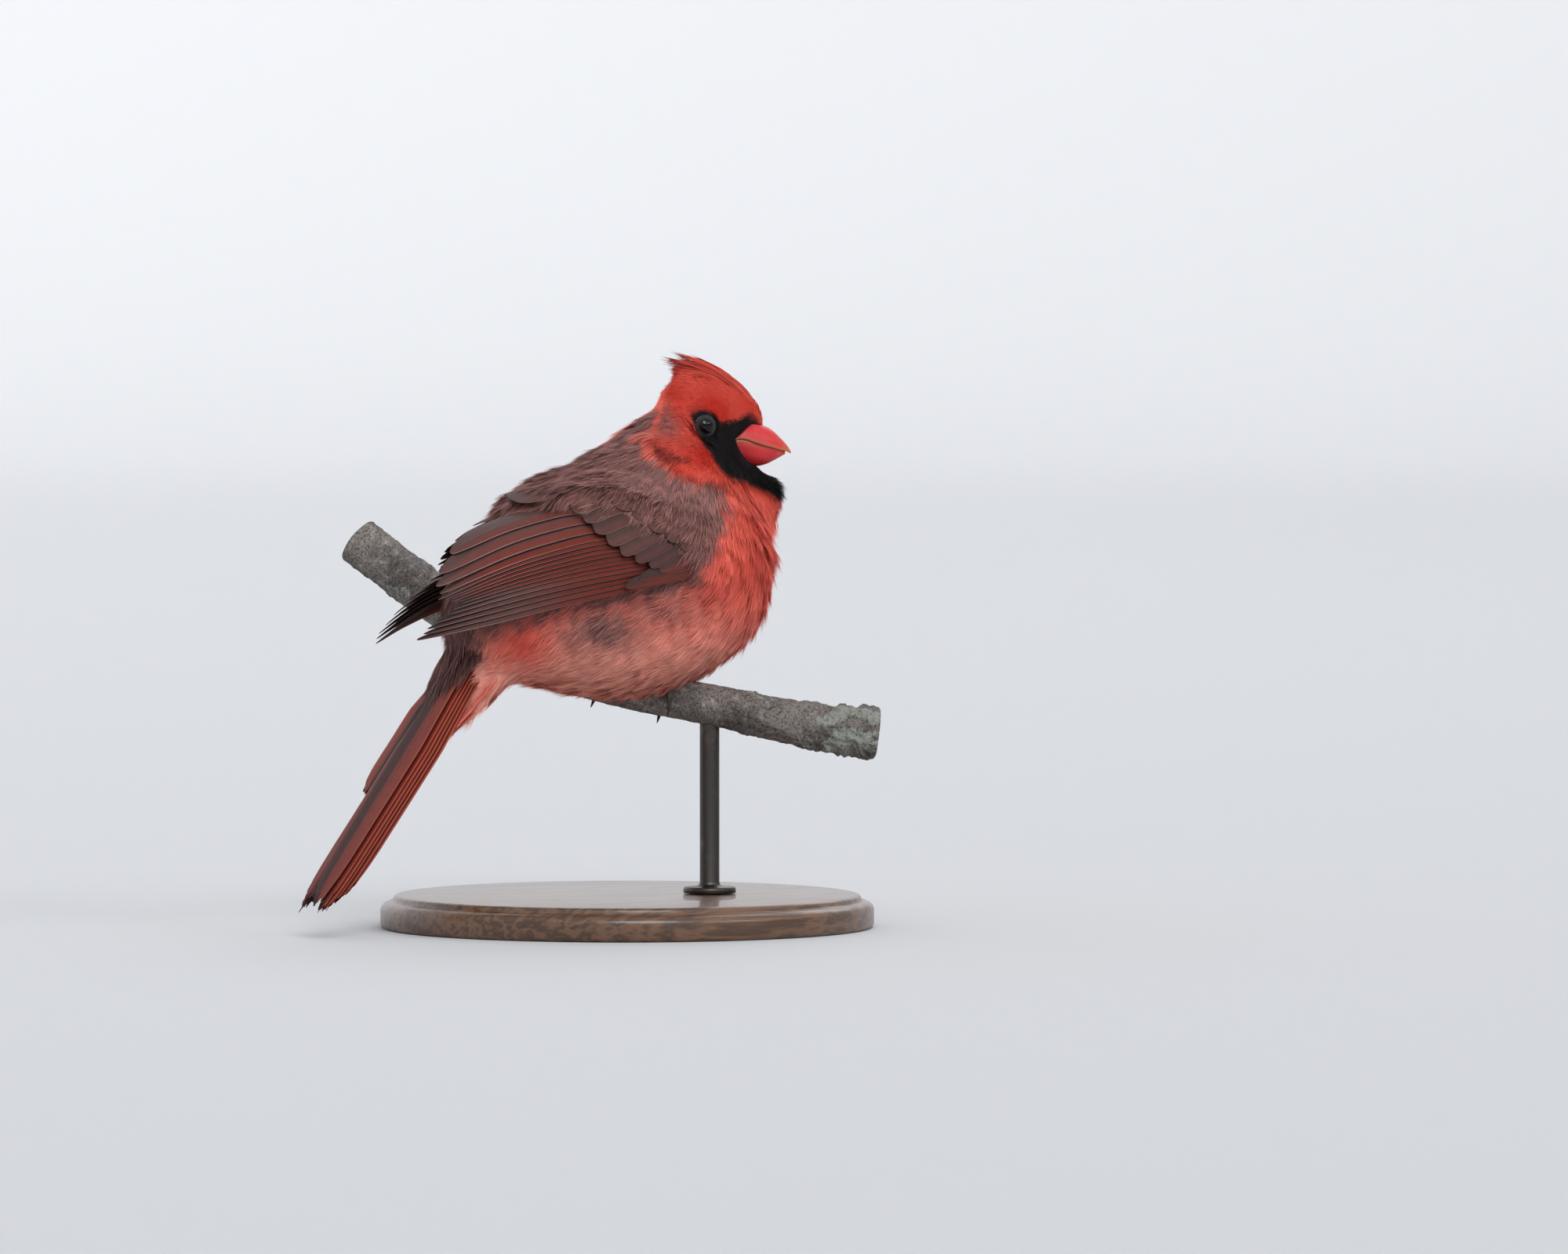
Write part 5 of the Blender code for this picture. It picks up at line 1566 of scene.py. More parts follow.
@dataclass
class Wing:
    """Flight feathers and their coverts, each a vane over the next one down."""

    surface: WingSurface
    sheet: Sheet = field(default_factory=Sheet)
    # How deep the roots lie, and how thick a vane is.
    dive: float = 2.2
    thick: float = 0.14
    # How much shorter and less dark the left wing's upper feathers are, and the least of that. Less dark is partly the
    # vanes' paler inner side and partly painted light against the shade that side lies in.
    left_short: float = 0.24
    left_pale_and_lit: float = 0.80
    left_least: float = 0.45
    covert_relief: float = 0.5
    uneven: float = 0.012
    remiges: Tier = field(default_factory=lambda: Tier(2.6, 2.4, 0.9, [
        (0.14, 0.985, 1.000, 0.995), (0.14, 0.950, 0.992, 0.950), (0.14, 0.915, 0.978, 0.905),
        (0.15, 0.880, 0.960, 0.862), (0.15, 0.842, 0.940, 0.822), (0.16, 0.803, 0.918, 0.786),
        (0.18, 0.765, 0.905, 0.758), (0.20, 0.725, 0.918, 0.728), (0.22, 0.682, 0.930, 0.700),
        (0.24, 0.640, 0.942, 0.672), (0.26, 0.597, 0.954, 0.643), (0.28, 0.553, 0.965, 0.612),
        (0.30, 0.508, 0.975, 0.580), (0.32, 0.430, 0.985, 0.500), (0.34, 0.330, 0.985, 0.370),
        (0.36, 0.215, 0.948, 0.205),
    ]))
    greater: Tier = field(default_factory=lambda: Tier(3.9, 1.9, 0.38, [
        (0.06, 0.985, 0.430, 0.980), (0.06, 0.945, 0.385, 0.950), (0.08, 0.890, 0.310, 0.915),
        (0.15, 0.640, 0.345, 0.880), (0.18, 0.570, 0.390, 0.825), (0.21, 0.500, 0.432, 0.755),
        (0.24, 0.430, 0.462, 0.660), (0.27, 0.350, 0.490, 0.545), (0.31, 0.260, 0.512, 0.425),
        (0.35, 0.170, 0.530, 0.310), (0.40, 0.070, 0.580, 0.165), (0.44, -0.030, 0.665, -0.010),
    ], 2.0))
    median: Tier = field(default_factory=lambda: Tier(4.7, 1.9, 0.32, [
        (0.05, 0.520, 0.215, 0.735), (0.08, 0.460, 0.270, 0.650), (0.12, 0.390, 0.315, 0.550),
        (0.16, 0.310, 0.355, 0.445), (0.21, 0.220, 0.395, 0.330), (0.27, 0.110, 0.440, 0.205),
    ], 2.2))

    def _vane(self, tier: Tier, k: int, short: float, draw: np.random.Generator) -> tuple[Array, ...]:
        """One vane.

        Args:
            tier: the row it stands in.
            k: its number there, from the lowest.
            short: how much shorter it is than its row says.
            draw: where its small differences come from.

        Returns:
            Its points (stations by columns by 3), and how far across and along it each lies.
        """
        sheet = self.sheet
        u0, v0, u1, v1 = tier.edges[k]
        s, share = sheet.shares()
        u = blend(u0, u1 - short + self.uneven * draw.uniform(-1, 0.3), s)
        v = blend(v0, v1, s)
        other = tier.edges[k + 1] if k + 1 < len(tier.edges) else tier.edges[k - 1]
        o0, p0, o1, p1 = other
        line = blend(p0, p1, np.clip((u - o0) / (o1 - o0), 0, 1))
        depth = self.surface.depth(u)
        spacing = np.maximum(np.abs(v - line) * depth, tier.least_spacing)
        width = tier.reach * spacing
        worn = 1 + sheet.fray * np.cumsum(draw.normal(0, 0.5, len(s))) * ease(s, 0.3, 0.9) * 0.6
        low = v - width * (1 - share) * 0.4 / depth
        high = low - width * share * worn / depth
        t = sheet.columns_at()
        across = low[:, None] + (high - low)[:, None] * t
        slope = tier.step / spacing
        lift = tier.height - (slope * depth)[:, None] * (v[:, None] - across)
        relief = sheet.relief(t)[None] * (1.0 if tier is self.remiges else self.covert_relief)
        lift = lift + relief * np.minimum(share, ease(s, -0.1, 0.2))[:, None]
        lift = lift - self.dive * (1 - ease(s, -0.05, 0.4))[:, None]
        lift = lift + draw.uniform(-0.08, 0.12) + 0.35 * ease(s, 0.75, 1.0)[:, None] * draw.uniform(-0.3, 1.0)
        jag = draw.normal(0, 0.10, lift.shape) * ease(s, 0.86, 0.97)[:, None]
        points = self.surface.at(u[:, None] + jag * 0.004, across, lift)
        return points, np.broadcast_to(t, lift.shape), np.broadcast_to(s[:, None], lift.shape)

    def _web(self, tier: Tier, k: int, s: Array) -> Array:
        """The vane's (rust, dark, pale edge) at each point, dark being partly the inner web's colour and partly
        painted shade under the next vane.
        """
        u = blend(tier.edges[k][0], tier.edges[k][2], s)
        fringe = ease(s, 0.93, 0.99)
        if tier is self.remiges:
            primary = 1 - ease(k, 4.0, 7.5)
            tertial = ease(k, 11.5, 14.0)
            fade = 1 - ease(u, blend(0.80, 0.50, primary), blend(1.0, 0.80, primary))
            rust = fade * blend(1.0, 0.45, tertial) * blend(1.0, 0.85, primary) + 0.12
            dark = blend(blend(0.85, 0.25, tertial), 0.95, primary) * blend(0.7, 1.0, ease(u, 0.5, 0.9))
            edge = blend(0.30, 0.95, ease(u, 0.50, 0.88)) * blend(1.0, 0.60, tertial) + 0.3 * fringe
        elif tier is self.greater:
            low = 1 - ease(k, 1.0, 3.0)
            rust, dark = blend(0.16, 0.85, low), blend(0.30, 0.55, low)
            edge = 0.30 + 0.15 * fringe
        else:
            rust, dark = 0.12, 0.15
            edge = 0.14 + 0.2 * fringe
        return np.clip(np.stack(np.broadcast_arrays(rust, dark, edge), -1), 0, 1)

    def build(self, left: bool) -> bpy.types.Object:
        """Makes one wing's feathers as one mesh."""
        draw = np.random.default_rng(31 + left)
        sheaf = Sheaf("wing_feathers_left" if left else "wing_feathers_right")
        for tier in (self.remiges, self.greater, self.median):
            for k in range(len(tier.edges)):
                upper = ease(k, 3, 9) * left
                points, t, s = self._vane(tier, k, self.left_short * upper, draw)
                # Painted light: the left wing's dark webs are lightened, partly for their paler inner side, partly
                # against shade.
                web = self._web(tier, k, s) * (1, 1 - self.left_pale_and_lit * max(upper, self.left_least * left), 1)
                vane = np.stack([t, s * 0.6, np.full(t.shape, draw.uniform(0, 1))], -1)
                if left:
                    points = other_side(points)
                faces = grid(*t.shape, flip=not left)
                sheaf.add(points, faces, web=web.reshape(-1, 3), vane=vane.reshape(-1, 3))
        return settled(modified(sheaf.build(), "SOLIDIFY", thickness=self.thick * MM, offset=0.0))


@dataclass
class Tail:
    """The tail's twelve feathers, and the frame that the coverts over and under them are placed in."""

    root: tuple[float, float, float] = (-55.0, 0.0, 81.8)
    fall: float = math.radians(53.4)
    top: float = 2.9
    step: float = 0.85
    thick: float = 0.22
    # How far the right and the left feather of each pair reach, from the middle pair out.
    lengths: Rows = table(
        (90.0, 89.0), (91.0, 90.5), (90.0, 89.0), (88.5, 87.0), (86.0, 47.0), (83.0, 41.0),
    )
    # Half the tail's width, and how much farther out each pair lies.
    half: float = 8.2
    spread: float = 0.55
    # The short left feathers stand out this far, and this share of a middle feather is its outer web.
    splay: float = 14.0
    central_web: float = 0.66
    start: float = -4.0
    sheet: Sheet = field(default_factory=lambda: Sheet(
        stations=40, columns=11, full_to=0.70, bluntness=3.4, least=0.06, shaft=0.40, camber=0.3, ridge=0.2,
        fray=0.03,
    ))
    # Feathers that reach less far than this are the short ones.
    short_reach: float = 60.0

    def place(self, along: Array, left: Array, out: Array) -> Array:
        """Points of the tail's frame: along it, to the bird's left, out over its upper side."""
        down = np.array((-math.cos(self.fall), 0, -math.sin(self.fall)))
        over = np.array((-math.sin(self.fall), 0, math.cos(self.fall)))
        along, left, out = np.broadcast_arrays(along, left, out)
        side = np.array((0.0, 1.0, 0.0))
        return np.array(self.root) + along[..., None] * down + left[..., None] * side + out[..., None] * over

    def _vane(
        self, reach: float, inner: float, outer: float, lean: float, level: float, draw: np.random.Generator
    ) -> tuple[Array, Array, Array]:
        """One tail feather, from its inner edge to its outer one.

        Args:
            reach: how far it reaches past the tail's root.
            inner: where its inner edge lies at the root, to the left.
            outer: where its outer edge lies.
            lean: how much of the inner edge's place is left at the tip.
            level: how far out it lies.
            draw: where its small differences come from.

        Returns:
            Its points, across from the outer edge, and along.
        """
        sheet = self.sheet
        s, share = sheet.shares()
        t = sheet.columns_at()
        along = blend(self.start, reach, s)
        inner = blend(inner, inner * lean, s)
        middle = blend(inner, outer, 0.62)
        narrow = blend(0.55, 1.0, np.minimum(s / 0.4, 1))
        worn = 1 + sheet.fray * np.cumsum(draw.normal(0, 0.5, len(s))) * ease(s, 0.3, 0.9) * 0.5
        one = blend(middle, outer, share * worn) * narrow
        other = blend(middle, inner, share) * narrow
        left = one[:, None] + (other - one)[:, None] * t
        lift = level + sheet.relief(t)[None] * share[:, None] - 0.25 * (left / 9.0) ** 2
        lift = lift + draw.uniform(-0.06, 0.06)
        notch = draw.normal(0, 0.9, left.shape) * ease(s, 0.90, 0.985)[:, None]
        swing = 0.8 * np.sin(s * 3.0)[:, None] * draw.uniform(-0.4, 0.4)
        points = self.place(along[:, None] + notch, left + swing, lift)
        return points, np.broadcast_to(t, left.shape), np.broadcast_to(s[:, None], left.shape)

    def build(self) -> bpy.types.Object:
        """Makes the tail's feathers as one mesh."""
        draw = np.random.default_rng(41)
        sheaf = Sheaf("tail_feathers_all")
        for pair, reaches in enumerate(self.lengths):
            for side, reach in zip((-1, 1), reaches):
                outer = side * (self.half + self.spread * (pair + draw.uniform(-0.35, 0.35)))
                level = self.top - self.step * (pair + 1)
                inner, lean, web_at = side * 0.5, 1.0, 1.0
                if pair == 0:
                    inner, lean, web_at = -side * self.half * 0.9, 0.25, self.central_web
                    level = self.top - (0.0 if side < 0 else self.step)
                short = reach < self.short_reach
                if short:
                    inner = outer * 0.5
                    outer += side * self.splay
                points, t, s = self._vane(reach, inner, outer, lean, level, draw)
                rust = (0.40 if pair == 0 else 1.0) * blend(1.0, 0.6, s)
                fringe = (1.6 if short else 0.6) * ease(s, 0.95, 0.99)
                edge = blend(0.75, 0.35, s) * (0.5 if pair == 0 else 1.0) + fringe
                web = np.stack([rust, 0.75 + 0 * s, np.clip(edge, 0, 1)], -1)
                vane = np.stack([t * web_at, s, np.full(t.shape, draw.uniform(0, 1))], -1)
                faces = grid(*t.shape, flip=side > 0)
                sheaf.add(points, faces, web=web.reshape(-1, 3), vane=vane.reshape(-1, 3))
        return settled(modified(sheaf.build(), "SOLIDIFY", thickness=self.thick * MM, offset=0.0))


@dataclass
class Coverts:
    """Soft feathers over or under the tail: flat plumes of separate barbs."""

    tail: Tail
    over: bool
    barbs: int = 46
    stops: int = 5
    # Start, end, left, half width, and how far out from the tail's middle at both ends.
    upper: Rows = table(
        (-6, 18, 0.5, 3.6, 5.2, 4.2), (-6, 18, 4.2, 3.6, 4.8, 4.0), (-6, 15, -3.2, 3.4, 4.8, 4.0),
        (-6, 17, 7.6, 3.2, 4.0, 3.4), (-6, 11, -6.6, 3.2, 4.2, 3.6), (-7, 15, 2.2, 3.6, 5.8, 4.8),
        (-7, 12, -1.4, 3.4, 6.0, 5.0), (-7, 14, 5.8, 3.4, 5.2, 4.4), (-7, 9, -4.8, 3.2, 5.4, 4.6),
        (-7, 12, 8.6, 3.0, 5.0, 3.9), (-7, 8, -8.0, 3.0, 4.8, 3.9), (-8, 11, 0.6, 3.6, 6.8, 5.6),
        (-8, 9, 3.4, 3.4, 7.0, 5.8), (-8, 8, -2.8, 3.4, 7.2, 5.9), (-8, 8, 6.8, 3.2, 6.4, 5.2),
        (-8, 6, -6.4, 3.2, 6.4, 5.2), (-9, 7, 0.2, 3.8, 8.2, 6.6), (-9, 5, 4.0, 3.4, 8.0, 6.6),
        (-9, 5, -3.8, 3.4, 8.0, 6.6),
    )
    under: Rows = table(
        (4, 31, 0.0, 4.4, 8.0, 4.2), (3, 29, 3.8, 4.2, 7.8, 4.2), (3, 29, -4.0, 4.2, 7.8, 4.2),
        (2, 25, 7.0, 3.6, 7.0, 3.8), (2, 25, -7.2, 3.6, 7.0, 3.8), (0, 21, -9.0, 3.2, 6.6, 3.6),
        (2, 27, 1.8, 4.2, 9.4, 5.4), (2, 26, -2.0, 4.2, 9.4, 5.4), (0, 23, 5.2, 3.8, 9.0, 5.2),
        (0, 23, -5.6, 3.8, 9.0, 5.2),
    )

    def build(self) -> bpy.types.Object:
        """Makes the coverts as one mesh."""
        draw = np.random.default_rng(51 + self.over)
        sheaf = Sheaf("coverts_over_tail" if self.over else "coverts_under_tail")
        sign = 1 if self.over else -1
        f = np.linspace(0, 1, self.stops)
        wide = 0.22 * (1 - f**3) + 0.02
        faces = grid(self.stops, 2, flip=self.over)
        tips = np.repeat(f, 2)
        even = np.ones(len(tips))
        marks = np.tile((0.50, 0.95, 0.0) if self.over else (0.0, 0.0, 0.45), (len(tips), 1))
        for start, end, left, half, first, last in self.upper if self.over else self.under:
            tuft = draw.uniform(0, 1)
            for barb in range(self.barbs):
                for side in (-1, 1):
                    root = (barb + draw.uniform(0, 1)) / self.barbs
                    at = blend(start, end - 4.5, root)
                    reach = draw.uniform(0.85, 1.1) * blend(5.5, 6.5, root)
                    out = half * draw.uniform(0.75, 1.0) * math.sqrt(1 - 0.55 * root**3)
                    along = at + reach * f**0.9
                    across = left + side * out * f**0.7 * draw.uniform(0.2, 1.0)
                    level = blend(first, last, np.clip((along - start) / (end - start), 0, 1))
                    lift = level - 0.9 * np.abs(f * out / half) + draw.uniform(-0.15, 0.15) - 0.3 * f
                    points = np.stack([self.tail.place(along, across + w, sign * lift) for w in (-wide, wide)], 1)
                    # along darkens each plume towards its root as painted shade.
                    sheaf.add(
                        points, faces, along=0.25 + 0.75 * tips, blade=even * draw.uniform(0, 1), marks=marks,
                        vivid=even * 0.1, tuft=even * tuft,
                    )
        return bed_map(sheaf.build())


def bed_map(made: bpy.types.Object) -> bpy.types.Object:
    """Lays the plumes' places out flat, as the UV map named OFBake."""
    mesh = made.data
    layer = mesh.uv_layers.new(name="OFBake")
    points = points_of(mesh)
    low, high = points.min(0), points.max(0)
    loops = np.empty(len(mesh.loops), int)
    mesh.loops.foreach_get("vertex_index", loops)
    share = (points - low) / np.maximum(high - low, 1e-6)
    flat = np.stack([share[:, 1] * 0.9 + share[:, 0] * 0.08, share[:, 2] * 0.9 + share[:, 0] * 0.05], 1)
    layer.data.foreach_set("uv", flat[loops].ravel())
    return made


@dataclass
class Crest:
    """The crest's long feathers, each a narrow plume with a dark, pointed tip."""

    head: HeadFrame
    # From the front: root along, root up, tip along, tip up.
    rows: Rows = table(
        (11.0, 6.8, -9.0, 22.4), (9.5, 8.4, -14.4, 23.8), (8.0, 9.8, -15.8, 23.0), (6.4, 11.2, -17.2, 22.0),
        (4.6, 12.5, -17.6, 21.0), (2.8, 13.6, -16.9, 19.8), (0.8, 14.7, -15.8, 18.5), (-1.4, 15.6, -15.0, 17.1),
        (-3.6, 16.3, -14.5, 15.7), (-6.0, 16.7, -14.4, 14.2), (-8.2, 16.4, -14.8, 12.6),
    )
    across: tuple[float, ...] = (-1.0, -0.66, -0.33, 0.0, 0.33, 0.66, 1.0)
    root_half: float = 3.4
    tip_half: float = 1.4
    width: float = 0.26
    barbs: int = 9
    stops: int = 9
    spread: float = 0.85

    def build(self) -> bpy.types.Object:
        """Makes the crest's feathers as one mesh, each of fine barbs that meet at its tip."""
        draw = np.random.default_rng(61)
        sheaf = Sheaf("crest_feathers")
        f = np.linspace(0, 1, self.stops)
        w = f[:, None]
        wide = self.width / 2 * np.interp(w, (0, 0.3, 0.8, 1), (0.8, 1.0, 0.7, 0.06))
        tips = np.repeat(f, 2)
        even = np.ones(len(tips))
        marks = np.stack([ease(tips, 0.78, 0.95) * 0.75, 0.14 * even, 0 * even], 1)
        for row, (a0, u0, a1, u1) in enumerate(self.rows):
            for side in self.across:
                end = draw.uniform(0.72, 1.0) if abs(side) > 0.4 else draw.uniform(0.88, 1.03)
                root = np.array((a0, side * self.root_half * (0.35 + 0.065 * row), u0 - 0.5))
                tip = np.array((a1, side * self.tip_half, u1)) + draw.normal(0, (0.5, 0.2, 0.35))
                tip = root + (tip - root) * end
                tone = draw.uniform(0, 1)
                for barb in range(self.barbs):
                    off = draw.uniform(-1, 1, 3) * (1.2, self.spread, 0.35)
                    stop = tip + draw.uniform(-1, 1, 3) * (0.7, 0.12, 0.16)
                    stop = root + (stop - root) * draw.uniform(0.86, 1.0)
                    bulge = np.array((2.6, side * 0.9, 4.6)) * (1 - 0.075 * row)
                    bend = (root + tip) / 2 + bulge + off * 0.8
                    spine = (root + off) * (1 - w) ** 2 + bend * 2 * w * (1 - w) + stop * w**2
                    ahead = unit(np.gradient(spine, axis=0))
                    flat = np.array((0.0, side * 0.5 + draw.uniform(-0.6, 0.6), 1.0))
                    edge = unit(flat - (ahead @ flat)[:, None] * ahead) * wide
                    points = self.head.place(np.stack([spine - edge, spine + edge], 1))
                    flip = side < 0 or (side == 0 and barb % 2 == 1)
                    # along darkens each barb towards its root as painted shade.
                    sheaf.add(
                        points, grid(self.stops, 2, flip=flip), along=0.3 + 0.5 * tips,
                        blade=even * draw.uniform(0, 1), tuft=even * tone, marks=marks, vivid=even * 0.5,
                    )
        return bed_map(sheaf.build())


# Head details


@dataclass
class Bill:
    """The two halves of the bill, rounded outside, with the cutting edges and nostrils."""

    head: HeadFrame
    # Along, top, bottom, half width.
    upper: Rows = table(
        (3.0, 0.8, -4.7, 6.0), (5.5, 1.8, -3.3, 6.4), (8.5, 2.1, -3.5, 6.3), (12.0, 1.6, -4.7, 5.5),
        (16.0, -0.1, -5.8, 4.1), (19.0, -2.8, -6.6, 2.6), (21.2, -5.2, -7.2, 1.3), (22.4, -7.1, -7.8, 0.3),
    )
    lower: Rows = table(
        (3.0, -4.75, -10.8, 5.9), (5.5, -3.35, -11.2, 6.15), (8.5, -3.55, -11.5, 5.95), (12.0, -4.68, -11.6, 4.85),
        (15.0, -5.38, -10.9, 3.75), (18.0, -6.20, -9.4, 2.3), (20.6, -6.95, -7.9, 0.5),
    )
    # The line that the black feathers leave bare: along and up at the gape and on the ridge.
    bare: tuple[float, float, float, float] = (2.4, -5.5, 10.2, 1.5)
    rings: int = 44
    sides: int = 44
    nostril: tuple[float, float] = (11.6, 0.2)

    def build(self, is_upper: bool) -> bpy.types.Object:
        """Makes one half of the bill."""
        along, top, bottom, half = stations(self.upper if is_upper else self.lower, self.rings)
        turn = 2 * math.pi * (np.arange(self.sides) + 0.5) / self.sides
        flat, peak = (bottom, top) if is_upper else (top, bottom)
        rise = np.maximum(np.sin(turn), 0)[None] ** 0.85
        side = np.cos(turn)[None] * half
        near = np.exp(-((rise / 0.11) ** 2))
        bulge = 1 + 0.02 * near
        up = blend(flat, peak, rise)
        if is_upper:
            a0, u0, a1, u1 = self.bare
            start = blend(a0, a1, np.clip((up - u0) / (u1 - u0), 0, 1))
            along = np.maximum(along, start - 1.2)
            up = blend(up, up - 1.0, np.clip((start - along) / 1.2, 0, 1))
        local = np.stack([along + 0 * up, side * bulge, up], -1)
        if is_upper:
            a, u = self.nostril
            apart = ((local[..., 0] - a) / 1.1) ** 2 + ((local[..., 2] - u) / 0.55) ** 2
            dip = 0.7 * np.exp(-(apart**1.5)) * (np.abs(local[..., 1]) > 1.5)
            local[..., 1] -= np.sign(local[..., 1]) * dip
        crease = (1 - ease(local[..., 0], 5.5, 9.5)) * np.sin(local[..., 0] * 7.0 + local[..., 2] * 2.0) * 0.12
        local[..., 1] += np.sign(local[..., 1]) * crease * near
        share = (local[..., 0] - 3.0) / 19.4
        low = np.clip((-up - 5) / 6, 0, 1)
        look = np.stack([share, near * (np.sin(turn)[None] > -0.3) + 0 * up, low], -1)
        sheaf = Sheaf("bill_half_upper" if is_upper else "bill_half_lower")
        sheaf.loft(self.head.place(local), look=look)
        return turned_out(sheaf.build())


@dataclass
class Eyes:
    """Eyeballs and the beaded rings of the lids."""

    head: HeadFrame
    # Each ring of lid: radius, thickness, height over the eye's middle, beads, how far they stand out.
    rings: Rows = table(
        (2.60, 0.15, 2.10, 60, 0.05), (2.95, 0.23, 1.75, 46, 0.12), (3.32, 0.22, 1.45, 40, 0.10),
    )
    ball_steps: tuple[int, int] = (40, 48)
    lid_steps: tuple[int, int] = (150, 14)

    def ball(self, side: str) -> bpy.types.Object:
        """Makes one eyeball, with its look round its middle."""
        centre, looks = self.head.eyes()[side]
        across, rise = self._axes(looks)
        lat = np.linspace(0.02, math.pi - 0.02, self.ball_steps[0])
        turn = circle(self.ball_steps[1])[:, None]
        rim = np.cos(turn) * across + np.sin(turn) * rise
        ball = np.cos(lat)[:, None, None] * looks + np.sin(lat)[:, None, None] * rim
        ring = np.broadcast_to((lat / (math.pi / 2))[:, None], self.ball_steps)
        sheaf = Sheaf("eyeball_" + side)
        sheaf.loft(centre + ball * (self.head.eye_radius - 0.02), ring=ring)
        return turned_out(sheaf.build())

    @staticmethod
    def _axes(looks: Array) -> tuple[Array, Array]:
        """Two directions across the way an eye looks, the second as near upright as can be."""
        across = unit(np.cross(looks, (0.0, 0.0, 1.0)))
        return across, unit(np.cross(across, looks))

    def lid(self, side: str) -> bpy.types.Object:
        """Makes one ring of lid, with a row of small beads."""
        centre, looks = self.head.eyes()[side]
        across, rise = self._axes(looks)
        sheaf = Sheaf("lid_" + side)
        turn, tube = (circle(steps) for steps in self.lid_steps)
        out = np.cos(turn)[:, None] * across + np.sin(turn)[:, None] * rise * 0.96
        for radius, thick, height, beads, stands in self.rings:
            size = (thick * (1 + stands * np.cos(turn * beads) + 0.08 * np.cos(turn * 7 + 1)))[:, None]
            away = (radius + np.cos(tube) * size)[..., None]
            rings = centre + looks * height + out[:, None] * away + looks * (np.sin(tube) * size)[..., None]
            sheaf.add(rings, grid(*self.lid_steps, wrap=True, loop=True))
        return turned_out(sheaf.build())


# Feet, perch and stand


